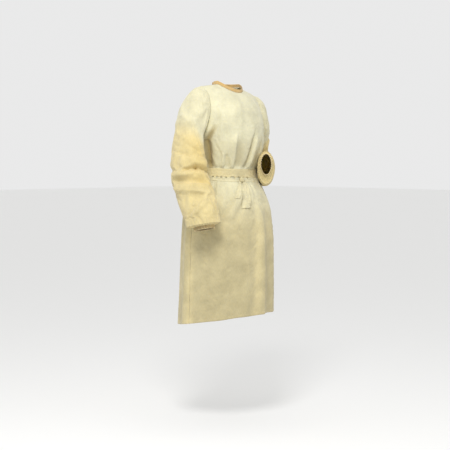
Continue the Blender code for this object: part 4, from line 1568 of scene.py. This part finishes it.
    def band(self, forward: Array) -> Item:
        """Builds the gathered elastic band with Geometry Nodes.

        Args:
            forward: The way out of the sleeve.

        Returns:
            The band.
        """
        outer, front = np.array(self.cuff.outer), np.array(self.cuff.front)
        item = link_mesh(self.name("cuff"), np.zeros((1, 3)), [])
        values = {
            "Half width": float(np.linalg.norm(outer)) - self.band_thick / 2,
            "Half depth": float(np.linalg.norm(front)) - self.band_thick / 2,
            "Gathers": self.gathers,
            "Gather depth": self.gather_depth,
            "Band width": self.band_width,
            "Band thickness": self.band_thick,
            "Finish": self.trim,
        }
        run_tree(item, cuff_tree(), values)
        mirror = np.array((self.side.value, 1, 1))
        centre = np.array(self.cuff.centre) * mirror + forward * (self.band_width / 2 + SEAM_GAP)
        axis_x, axis_y = unit(outer * mirror), unit(front * mirror)
        frame = Matrix(np.column_stack([axis_x, axis_y, forward]).tolist()).to_4x4()
        frame.translation = Vector(centre)
        item.data.transform(frame)
        face_out(item)
        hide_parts(f"cuff_{self.side.name.lower()}")
        self.name("sleeve")
        return item

    def tree(self, sleeve: Item) -> BVHTree:
        """The sleeve as a tree for rays."""
        mesh = sleeve.data
        return BVHTree.FromPolygons([v.co for v in mesh.vertices], [p.vertices for p in mesh.polygons])


# Node trees


def new_tree(name: str, inputs: dict[str, str]) -> tuple[Graph, Node, Node]:
    """Starts a Geometry Nodes tree.

    Args:
        name: Its name.
        inputs: The socket type of each named input.

    Returns:
        The tree's graph, its input node and its output node.
    """
    tree = bpy.data.node_groups.new(name, "GeometryNodeTree")
    for title, kind in inputs.items():
        tree.interface.new_socket(title, in_out="INPUT", socket_type=kind)
    tree.interface.new_socket("Geometry", in_out="OUTPUT", socket_type="NodeSocketGeometry")
    graph = Graph(tree)
    return graph, graph.add("NodeGroupInput"), graph.add("NodeGroupOutput")


def run_tree(item: Item, tree: Tree, values: dict[str, object]) -> Item:
    """Runs a Geometry Nodes tree on an object and turns the result into a plain mesh.

    Args:
        item: The object.
        tree: The tree.
        values: A value for each named input.

    Returns:
        The object.
    """
    modifier = item.modifiers.new(tree.name, "NODES")
    modifier.node_group = tree
    sockets = {s.name: s.identifier for s in tree.interface.items_tree if s.in_out == "INPUT"}
    for title, value in values.items():
        modifier[sockets[title]] = value
    bpy.context.view_layer.update()
    return made_plain(item)


def end_tree(graph: Graph, shape: Socket, finish: Socket, out: Node) -> Tree:
    """Ends a tree with real, smooth faces that have their finish.

    Args:
        graph: The tree's graph.
        shape: The shape.
        finish: The finish.
        out: The tree's output node.

    Returns:
        The tree.
    """
    real = graph.add("GeometryNodeRealizeInstances", {0: shape})
    soft = graph.add("GeometryNodeSetShadeSmooth", {0: real.outputs[0]})
    dressed = graph.add("GeometryNodeSetMaterial", {"Geometry": soft.outputs[0], "Material": finish})
    graph.tree.links.new(dressed.outputs[0], out.inputs[0])
    return graph.tree


def cuff_tree() -> Tree:
    """The tree of a gathered band: a thin rounded strip swept round an oval with an uneven wave.

    Returns:
        The tree.
    """
    sizes = ("Half width", "Half depth", "Gathers", "Gather depth", "Band width", "Band thickness")
    kinds = {"Geometry": "NodeSocketGeometry", **dict.fromkeys(sizes, "NodeSocketFloat")}
    kinds |= {"Finish": "NodeSocketMaterial"}
    graph, given, out = new_tree("gathered_band", kinds)
    half_width, half_depth, gathers, depth, width, thickness = (given.outputs[size] for size in sizes)
    circle = graph.add("GeometryNodeCurvePrimitiveCircle", {"Resolution": 312, "Radius": 1.0})
    place = graph.add("ShaderNodeSeparateXYZ", {0: graph.add("GeometryNodeInputPosition").outputs[0]})
    turn = graph.maths("ARCTAN2", place.outputs[1], place.outputs[0])
    uneven = graph.maths("MULTIPLY", graph.maths("SINE", graph.maths("MULTIPLY", turn, 3.0)), 0.9)
    phase = graph.maths("ADD", graph.maths("MULTIPLY", turn, gathers), uneven)
    wave = graph.maths("MULTIPLY", graph.maths("COSINE", phase), depth)
    x, y = (
        graph.maths("MULTIPLY", place.outputs[i], graph.maths("ADD", half, wave))
        for i, half in enumerate((half_width, half_depth))
    )
    moved = graph.add("ShaderNodeCombineXYZ", {0: x, 1: y, 2: 0.0})
    path = graph.add("GeometryNodeSetPosition", {"Geometry": circle.outputs[0], "Position": moved.outputs[0]})
    level = graph.add("GeometryNodeSetCurveNormal", {0: path.outputs[0]}, mode="Z_UP")
    strip = graph.add("GeometryNodeCurvePrimitiveQuadrilateral", {"Width": thickness, "Height": width})
    finer = graph.add("GeometryNodeResampleCurve", {"Curve": strip.outputs[0], "Count": 24})
    rounded = graph.add("GeometryNodeFilletCurve", {"Curve": finer.outputs[0], "Radius": 0.0006})
    sweep = {"Curve": level.outputs[0], "Profile Curve": rounded.outputs[0], "Fill Caps": False}
    swept = graph.add("GeometryNodeCurveToMesh", sweep)
    return end_tree(graph, swept.outputs[0], given.outputs["Finish"], out)


def stitch_tree() -> Tree:
    """The tree of a row of stitches along lines of edges.

    Returns:
        The tree.
    """
    sizes = ("Pitch", "Stitch length", "Thread")
    kinds = {"Geometry": "NodeSocketGeometry", **dict.fromkeys(sizes, "NodeSocketFloat")}
    kinds |= {"Seed": "NodeSocketInt", "Finish": "NodeSocketMaterial"}
    graph, given, out = new_tree("stitch_row", kinds)
    pitch, length, thread = (given.outputs[size] for size in sizes)
    line = graph.add("GeometryNodeMeshToCurve", {0: given.outputs["Geometry"]})
    spacing = {"Curve": line.outputs[0], "Length": pitch}
    spaced = graph.add("GeometryNodeResampleCurve", spacing, mode="LENGTH")
    grain = graph.add("GeometryNodeMeshUVSphere", {"Segments": 6, "Rings": 4, "Radius": 0.5})
    along = {"Vector": graph.add("GeometryNodeInputTangent").outputs[0]}
    turned = graph.add("FunctionNodeAlignRotationToVector", along, axis="X")
    size = graph.add("ShaderNodeCombineXYZ", {0: length, 1: thread, 2: thread})
    limits = {2: 0.86, 3: 1.1, "Seed": given.outputs["Seed"]}
    uneven = graph.add("FunctionNodeRandomValue", limits, data_type="FLOAT")
    factor = {0: size.outputs[0], "Scale": uneven.outputs[1]}
    scaled = graph.add("ShaderNodeVectorMath", factor, operation="SCALE")
    inputs = {
        "Points": spaced.outputs[0],
        "Instance": grain.outputs["Mesh"],
        "Rotation": turned.outputs[0],
        "Scale": scaled.outputs[0],
    }
    placed = graph.add("GeometryNodeInstanceOnPoints", inputs)
    return end_tree(graph, placed.outputs[0], given.outputs["Finish"], out)


# Belt and ties


@dataclass
class Belt:
    """The belt round the waist, the narrower turn of the tie over its lower edge, its knot and its ends."""

    cloth: BodyCloth
    finish: Material
    columns: int = 288
    offset: float = 0.0005
    thick: float = 0.0011
    wrap_top: float = -0.3750
    wrap_thick: float = 0.0016
    wrap_hug: float = 0.0021
    notch: float = 0.0055
    knot_angle: float = -12.5
    knot_level: float = -0.3850
    knot_size: Point = (0.026, 0.012, 0.021)
    knot_power: float = 0.72
    creases: int = 60
    crease_depth: float = 0.0007
    end_thick: float = 0.0007
    # Each end's rows give its turn from the knot, its fall below it, its distance off the body and its width
    long_path: tuple[tuple[float, ...], ...] = (
        (3.0, 0.0, 0.0050, 0.013),
        (3.0, 0.014, 0.0032, 0.020),
        (0.0, 0.038, 0.0024, 0.032),
        (-2.5, 0.070, 0.0022, 0.037),
        (-5.0, 0.103, 0.0034, 0.038),
    )
    short_path: tuple[tuple[float, ...], ...] = (
        (-3.0, 0.0, 0.0040, 0.012),
        (-7.0, 0.014, 0.0022, 0.015),
        (-11.5, 0.036, 0.0016, 0.019),
        (-16.5, 0.066, 0.0014, 0.022),
    )

    def on_body(self, angle: Array, level: Array, offset: Array) -> tuple[Array, Array]:
        """Points just off the body, all round it.

        Args:
            angle: The angles, from 0 to 360.
            level: The levels.
            offset: How far off the body each point is.

        Returns:
            The points and their outward directions.
        """
        form = self.cloth.form
        wrapped = angle % 360
        is_front = (wrapped <= 90) | (wrapped >= 270)
        signed = np.where(wrapped >= 270, wrapped - 360, wrapped)
        ahead, ahead_way = self.cloth.surface(np.clip(np.where(is_front, signed, 0), -90, 90), level, True)
        behind_angle = np.where(is_front, 180, wrapped)
        behind, behind_way = self.cloth.surface(behind_angle, level, False)
        lift = form.lift(behind_angle, level) * (wrapped <= 180 + form.flap_overlap + 0.1)
        drop = smooth((wrapped - 180 - form.flap_overlap) / 2.0)
        lift = np.where(wrapped > 180 + form.flap_overlap, 0.003 * (1 - drop), lift)
        behind = behind + unit(behind_way * LEVEL_WAY) * lift[:, None]
        points = np.where(is_front[:, None], ahead, behind)
        ways = np.where(is_front[:, None], ahead_way, behind_way)
        return points + ways * offset[:, None], ways

    @staticmethod
    def gaps(angle: Array) -> Array:
        """Where the tie's turn parts from the belt's lower edge: short uneven gaps, from 0 to 1.

        Args:
            angle: The angles.

        Returns:
            One value an angle.
        """
        turn = np.radians(angle)
        wave = smooth((np.sin(36 * turn + 1.5 * np.sin(7 * turn)) + 0.5 * np.sin(11 * turn) + 0.1) / 0.8)
        pulled = smooth(2.4 - np.abs((angle + 34 + 180) % 360 - 180) / 20)
        return wave * (0.22 + 0.78 * pulled)

    def band(
        self, name: str, low: float, high: float, rows: int, offset: float, thick: float, seed: int,
        notches: Pair, warmth: float,
    ) -> Item:
        """Builds one band of folded cloth round the waist.

        Args:
            name: Its name.
            low: Its lower level.
            high: Its upper level.
            rows: Rows of points across it.
            offset: How far off the body its inner side is.
            thick: How thick it is.
            seed: What makes its creases uneven.
            notches: How deep the gaps are in its lower and upper edge.
            warmth: How warm its colour is.

        Returns:
            The band.
        """
        draw = np.random.default_rng(seed)
        shares = np.linspace(0, 1, rows)
        angles = np.arange(self.columns) * 360 / self.columns
        share, angle = np.meshgrid(shares, angles, indexing="ij")
        turn = np.radians(angle)
        drift = sum(
            draw.uniform(0.0003, 0.0006) * np.sin(k * turn + draw.uniform(0, 6)) for k in (3, 5, 8, 13)
        )
        notch = self.gaps(angle) * (notches[0] * (1 - share) ** 3 - notches[1] * share**3)
        level = low + (high - low) * share + drift + notch + self.cloth.form.belt_shift(angle)
        limits = ((0, 360), (0.0, 0.5), (0.5, 1.1), (0.0025, 0.0050), (-1.0, 0.7))
        drawn = [[draw.uniform(*limit) for limit in limits] for _ in range(self.creases)]
        slants = [
            Fold(at, start, at + draw.uniform(-9, 9), end, wide, tall) for at, start, end, wide, tall in drawn
        ]
        crease = fold_heights(slants, angle, share, radius=0.13, pitch=high - low) * self.crease_depth
        pressed = 0.8 * self.crease_depth * (bell(share - 0.34, 0.05) + 0.7 * bell(share - 0.70, 0.05))
        puff = 0.0007 * np.sin(share * math.pi) ** 0.6
        hug = self.wrap_hug * (1 - smooth((share - 0.50) / 0.25)) if offset > self.wrap_hug else 0.0
        off_body = np.broadcast_to(offset - hug, angle.shape).ravel()
        inner, ways = self.on_body(angle.ravel(), level.ravel(), off_body)
        shape = (*angle.shape, 3)
        inner, ways = inner.reshape(shape), ways.reshape(shape)
        body = (thick + puff + crease - pressed)[..., None]
        edge = smooth(np.minimum(share, 1 - share) / 0.08)[..., None]
        outer = inner + ways * np.maximum(body * (0.35 + 0.65 * edge), 0.0004)
        warm = np.full(angle.shape, warmth)
        return make_wall(name, outer, inner, self.finish, (0.82, high - low), warm, closed=True)

    def knot(
        self, name: str, centre: Array, outward: Array, size: Point, seed: int, finish: Material
    ) -> Item:
        """Builds a tied knot: a soft lump with a strand wrapped over it.

        Args:
            name: Its name.
            centre: The middle of its back.
            outward: The way it faces.
            size: Its width, depth and height.
            seed: What makes its creases uneven.
            finish: Its finish.

        Returns:
            The knot.
        """
        draw = np.random.default_rng(seed)
        rows, columns = 48, 72
        lat = np.radians(np.linspace(-89.0, 89.0, rows))[:, None]
        lon = np.radians(np.arange(columns) * 360 / columns)[None, :]

        def soft(value: Array) -> Array:
            """A sine or cosine made squarer."""
            return np.sign(value) * np.abs(value) ** self.knot_power

        x = soft(np.cos(lat)) * soft(np.cos(lon)) * np.ones_like(lon)
        y = soft(np.cos(lat)) * soft(np.sin(lon))
        z = soft(np.sin(lat)) * np.ones_like(lon)
        ball = np.stack([x, y, z], axis=-1)
        strand = np.exp(-(((ball[..., 0] * 0.92 + ball[..., 2] * 0.38) / 0.36) ** 4))
        grooves = sum(
            0.030 * np.cos(9 * (ball[..., 0] * math.cos(t) + ball[..., 2] * math.sin(t)) + draw.uniform(0, 6))
            for t in (0.35, 0.6, 1.3)
        )
        swell = 0.84 + 0.13 * strand + grooves
        half = np.array(size) / 2
        local = ball * swell[..., None] * half
        side = np.cross(UP, outward)
        place = centre + local[..., :1] * side + local[..., 1:2] * outward + local[..., 2:3] * UP
        points = np.concatenate([place.reshape(-1, 3), [place[0].mean(axis=0)], [place[-1].mean(axis=0)]])
        faces = grid_faces(rows, columns, closed=True).tolist()
        low, high = rows * columns, rows * columns + 1
        last = (rows - 1) * columns
        for c in range(columns):
            n = (c + 1) % columns
            faces.append([low, n, c])
            faces.append([high, last + c, last + n])
        item = link_mesh(name, points, faces, finish)
        used = [v for f in item.data.polygons for v in f.vertices]
        keep_map(item, np.array([(points[v][0] + points[v][1], points[v][2]) for v in used]))
        keep_values(item, "warmth", np.full(len(points), 0.4))
        face_out(item)
        return item

    def strip(
        self, name: str, path: list[tuple[float, ...]], thick: float, front: bool, seed: int,
        finish: Material, warmth: float = 0.25,
    ) -> Item:
        """Builds a flat tie end that hangs on the body.

        Args:
            name: Its name.
            path: Its angle, level, distance off the body and width, from its top to its end.
            thick: How thick it is.
            front: True where it hangs on the front panel.
            seed: What makes its creases uneven.
            finish: Its finish.
            warmth: How warm its colour is.

        Returns:
            The strip.
        """
        draw = np.random.default_rng(seed)
        rows, columns = 60, 21
        places = np.array(path, float)
        knots = np.arange(len(places), dtype=float)
        share = np.linspace(0, len(places) - 1, rows)
        read = spline(knots, np.repeat(places[:, None, :], rows, axis=1), share)
        angle, level, offset, width = read.T
        across = np.linspace(0.5, -0.5, columns)
        before, after = (self.cloth.form.body(angle + t, level, front)[0] for t in (-STEP_TURN, STEP_TURN))
        degrees = width / np.linalg.norm(after - before, axis=1)
        angles = angle[:, None] + degrees[:, None] * across
        levels = np.repeat(level[:, None], columns, axis=1)
        points, ways = self.cloth.surface(angles.ravel(), levels.ravel(), front)
        if not front:
            points = self.cloth.form.lapped(points, ways, angles.ravel(), levels.ravel())
        shape = (rows, columns, 3)
        points, ways = points.reshape(shape), ways.reshape(shape)
        t = np.linspace(0, 1, rows)[:, None]
        ripple = sum(
            draw.uniform(0.0002, 0.0006) * np.cos(k * across * math.pi + draw.uniform(0, 6) + 1.5 * t)
            for k in (2.0, 3.6, 5.2)
        )
        curl = 0.0016 * np.abs(across * 2) ** 3 * smooth(t * 1.4)
        fold = 0.0016 * bell(across - 0.12 + 0.10 * t, 0.10) * (1 - 0.6 * t)
        share_of_full = np.minimum(width / 0.032, 1.0)[:, None]
        inside = points + ways * (offset[:, None] + (ripple + curl + fold) * share_of_full)[..., None]
        outside = inside + ways * thick
        return make_wall(name, outside, inside, finish, (0.04, 0.12), np.full((rows, columns), warmth))

    def build(self) -> list[Item]:
        """Builds the belt and the tie.

        Returns:
            The belt, the turn of the tie, the knot and the two ends.
        """
        form = self.cloth.form
        notch = self.notch
        belt = self.band(
            "gown_belt", form.belt_low, form.belt_top, 25, self.offset, self.thick, 3, (notch, 0.0), 0.52
        )
        off = self.offset + self.thick + 0.0008
        wrap = self.band(
            "gown_tie_wrap", form.wrap_low, self.wrap_top, 17, off, self.wrap_thick, 7, (0.0, notch), 0.15
        )
        middle, way = self.cloth.surface(np.array([self.knot_angle]), np.array([self.knot_level]), True)
        outward = unit(way[0] * LEVEL_WAY)
        centre = middle[0] + outward * (self.knot_size[1] / 2 + 0.0052)
        knot = self.knot("gown_tie_knot", centre, outward, self.knot_size, 4, self.finish)
        top = self.knot_level - self.knot_size[2] / 2 + 0.001
        long_end, short_end = (
            self.strip(
                f"gown_tie_end_{name}",
                [(self.knot_angle + turn, top - fall, *rest) for turn, fall, *rest in path],
                self.end_thick, True, seed, self.finish,
            )
            for name, path, seed in (("long", self.long_path, 21), ("short", self.short_path, 23))
        )
        nodes = ("belt", "tie_wrap", "tie_knot", "tie_end_long", "tie_end_short")
        made = [belt, wrap, knot, long_end, short_end]
        for item, node in zip(made, nodes):
            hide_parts(node)
        return made


@dataclass
class Neckline:
    """The folded binding round the neckline, its knot at the nape and the knot's two ends."""

    cloth: BodyCloth
    belt: Belt
    finish: Material
    height: float = 0.0130
    thick: float = 0.0016
    tie_width: float = 0.012
    knot_size: Point = (0.020, 0.010, 0.016)

    def edge(self, turn: Array) -> tuple[Array, Array]:
        """The body's top edge at each angle round the neck, with the level way out of the neck opening.

        Args:
            turn: The angles.

        Returns:
            The points and the ways.
        """
        form = self.cloth.form
        front = np.abs(turn) <= 90
        level = np.zeros(len(turn))
        ahead, _ = self.cloth.surface(np.where(front, turn * form.neck_share, 0), level, True)
        angle = np.where(front, 180, 90 + np.abs(turn) * form.neck_share)
        angle = np.where(turn < 0, 360 - angle, angle)
        behind, way = self.cloth.surface(angle, level, False)
        lifted = form.lapped(behind, way, angle, level)
        points = np.where(front[:, None], ahead, np.where((turn > 0)[:, None], lifted, behind))
        return points, unit(points * LEVEL_WAY)

    def build(self) -> list[Item]:
        """Builds the binding, its knot and its ends.

        Returns:
            The four pieces.
        """
        reach = 180 + self.cloth.form.flap_overlap / self.cloth.form.neck_share
        turn = np.linspace(-reach, reach, 361)
        edge, out = self.edge(turn)
        rows = 15
        bend = np.linspace(0, 1, rows)[:, None, None]
        low = edge + UP * SEAM_GAP * 1.4 + out * 0.0002
        high = low + UP * self.height - out * 0.0015
        wavy = 0.0003 * np.sin(np.radians(turn) * 23 + 2 * np.sin(np.radians(turn) * 3))
        puff = 0.0005 * np.sin(bend[..., 0] * math.pi) ** 0.5 + wavy * np.sin(bend[..., 0] * math.pi)
        outside = low + (high - low) * bend + out * puff[..., None]
        hollow = 1 - 0.75 * smooth((bend[..., 0] - 0.86) / 0.14) ** 2
        inside = outside - out * (self.thick * hollow)[..., None]
        warmth = np.full(puff.shape, 0.9)
        binding = make_wall("gown_neck_binding", outside, inside, self.finish, (0.48, 0.009), warmth)
        nape, way = self.edge(np.array([182.0]))
        centre = nape[0] + way[0] * 0.0016 + UP * (self.height / 2 + 0.002)
        knot = self.belt.knot("gown_neck_knot", centre, way[0], self.knot_size, 9, self.finish)
        ends = []
        for side, angle, length, seed in (("left", 176.5, 0.150, 31), ("right", 187.0, 0.115, 33)):
            path = [
                (angle, -0.006, 0.0016, self.tie_width * 0.8),
                (angle + 0.8, -length / 2, 0.0014, self.tie_width),
                (angle - 0.5, -length, 0.0014, self.tie_width),
            ]
            ends.append(self.belt.strip(f"gown_neck_tie_{side}", path, 0.0006, False, seed, self.finish, 0.7))
        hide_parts("neck_binding")
        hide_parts("neck_knot")
        for end, side, length in zip(ends, ("left", "right"), (0.148, 0.113)):
            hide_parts(f"neck_tie_{side}")
        return [binding, knot, *ends]


# Sewing


@dataclass
class Sewing:
    """Rows of stitches along the hem, the lapped edges and the shoulder seams."""

    cloth: BodyCloth
    thread: Material
    pitch: float = 0.0034
    length: float = 0.0027
    thickness: float = 0.00042
    inset: float = 0.011

    def body_line(self, angle: Array, level: Array, front: bool, lapped: bool, off: float) -> Array:
        """A line just off the body.

        Args:
            angle: Its angles.
            level: Its levels.
            front: True on the front panel.
            lapped: True on the back panel that laps over the other.
            off: How far off the cloth it lies.

        Returns:
            Its points.
        """
        points, ways = self.cloth.surface(angle, level, front)
        if lapped:
            points = self.cloth.form.lapped(points, ways, angle, level)
        return points + ways * off

    def lines(self) -> dict[str, list[Array]]:
        """The lines of each set of stitches.

        Returns:
            A list of lines for each piece's name.
        """
        form = self.cloth.form
        low, lap = form.hem + self.inset, form.flap_overlap
        hem = [
            self.body_line(np.linspace(-89.6, 89.6, 260), np.full(260, low), True, False, 0.0007),
            self.body_line(np.linspace(90.4, 180 + lap - 0.5, 170), np.full(170, low), False, True, 0.0007),
            self.body_line(np.linspace(180 - lap + 0.5, 269.6, 170), np.full(170, low), False, False, 0.0007),
        ]
        edges = []
        span = np.linspace(low, form.top - 0.004, 500)
        inset = math.degrees(self.inset / BODY_RADIUS)
        for angle, lapped in ((180 + lap - inset, True), (180 - lap + inset, False)):
            line = self.body_line(np.full(500, angle), span, False, lapped, 0.0007)
            edges += [line[span < form.wrap_low - 0.004], line[span > form.belt_top + 0.004]]
        seams = []
        share = np.linspace(form.neck_share + 0.02, 0.985, 60)
        for sign in (-1, 1):
            level = np.full(60, form.top - 0.006)
            seams.append(self.body_line(sign * share * 90, level, True, False, 0.0003))
        return {"gown_hem_stitches": hem, "gown_edge_stitches": edges, "gown_seam_stitches": seams}

    def build(self) -> list[Item]:
        """Builds each set of stitches with Geometry Nodes.

        Returns:
            One object a set.
        """
        made = []
        for seed, (name, lines) in enumerate(self.lines().items()):
            item = make_lines(name, lines)
            values = {
                "Pitch": self.pitch,
                "Stitch length": self.length,
                "Thread": self.thickness,
                "Seed": seed + 1,
                "Finish": self.thread,
            }
            made.append(run_tree(item, stitch_tree(), values))
        return made


# Studio


@dataclass(frozen=True)
class Studio:
    """The camera of the photograph's view, the plain floor and the soft light."""

    camera_place: Point = (-3.5355, -3.5355, -0.295)
    look_down: float = 3.170
    turn: float = -44.813
    lens: float = 98.47
    floor_level: float = -1.375
    floor_size: float = 60.0
    key_place: Point = (-1.60, -1.28, 1.28)
    key_aim: Point = (0.0, 0.0, -0.30)
    key_size: float = 0.8
    key_strength: float = 40.0
    world_strength: float = 0.82

    def camera(self) -> None:
        """Adds the camera."""
        data = bpy.data.cameras.new("camera")
        data.lens, data.sensor_width = self.lens, 36.0
        data.clip_start, data.clip_end = 0.05, 200.0
        item = bpy.data.objects.new("camera", data)
        item.location = self.camera_place
        item.rotation_euler = (math.radians(90 - self.look_down), 0.0, math.radians(self.turn))
        bpy.context.scene.collection.objects.link(item)
        bpy.context.scene.camera = item

    def floor(self) -> None:
        """Adds the plain pale floor."""
        half = self.floor_size / 2
        square = [(x * half, y * half, self.floor_level) for x, y in ((-1, -1), (1, -1), (1, 1), (-1, 1))]
        pale = {"Base Color": (0.92, 0.92, 0.91, 1.0), "Roughness": 0.9}
        material = new_material("studio_floor", pale)[0]
        link_mesh("studio_floor", np.array(square), [[0, 1, 2, 3]], material)

    def light(self) -> None:
        """Adds the soft light that faces the gown."""
        data = bpy.data.lights.new("key_light", "AREA")
        data.shape, data.size, data.energy = "DISK", self.key_size, self.key_strength
        item = bpy.data.objects.new("key_light", data)
        item.location = self.key_place
        away = Vector(self.key_place) - Vector(self.key_aim)
        item.rotation_euler = away.to_track_quat("Z", "Y").to_euler()
        item.visible_camera = False
        bpy.context.scene.collection.objects.link(item)

    def build(self) -> None:
        """Adds the camera, the floor, the light and the pale surroundings."""
        self.camera()
        self.floor()
        self.light()
        world = bpy.data.worlds.new("studio")
        world.use_nodes = True
        back = world.node_tree.nodes["Background"]
        back.inputs["Color"].default_value = (1.0, 1.0, 1.0, 1.0)
        back.inputs["Strength"].default_value = self.world_strength
        bpy.context.scene.world = world
        bpy.context.scene.view_settings.view_transform = "Standard"


def dress(items: list[Item]) -> None:
    """Puts finished pieces on the gown's body and reports them.

    Args:
        items: The pieces.
    """
    for item in items:
        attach(item, BODY)
        LOG.info("%s: %d faces", item.name, len(item.data.polygons))


def main() -> None:
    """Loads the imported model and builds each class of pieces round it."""
    logging.basicConfig(level=logging.INFO, format="%(name)s %(message)s")
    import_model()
    Studio().build()
    # The warm colour serves both the cloth's warmer tone and painted shade
    cloth = NonwovenFinish("pale_nonwoven", pale=(0.642, 0.606, 0.415), warm=(0.634, 0.500, 0.218))
    trim = NonwovenFinish("binding_nonwoven", pale=(0.68, 0.55, 0.31), warm=(0.55, 0.36, 0.135))
    cloth_finish, trim_finish = cloth.material(), trim.material()
    thread = ThreadFinish("sewing_thread", colour=(0.80, 0.74, 0.54)).material()
    form = GownForm()
    right = Sleeve(
        form, Side.RIGHT, RIGHT_RINGS, MAIN_RIGHT_FOLDS + FINE_RIGHT_FOLDS, RIGHT_CUFF, (0.01, -0.18, -0.98),
        flat=(0.50, 0.52), area=0.215, warm_from=2.9, finish=cloth_finish, trim=trim_finish,
    )
    left = Sleeve(
        form, Side.LEFT, LEFT_RINGS, MAIN_LEFT_FOLDS + FINE_LEFT_FOLDS, LEFT_CUFF, (-0.70, -0.70, 0.12),
        flat=(0.46, 0.52), area=0.160, warm_from=2.8, finish=cloth_finish, trim=trim_finish,
    )
    built = [right.build(), left.build()]
    trees = [right.tree(built[0][0]), left.tree(built[1][0])]
    for sleeve, cuff in built:
        dress([sleeve])
        dress([cuff])
    body = BodyCloth(form)
    body.settle()
    belt = Belt(body, cloth_finish)
    neck_pieces = Neckline(body, belt, trim_finish).build()
    belt_pieces = belt.build()
    dress(Panels(body, cloth_finish).build(trees))
    dress(belt_pieces)
    dress(neck_pieces)
    dress(Sewing(body, thread).build())


if __name__ == "__main__":
    main()
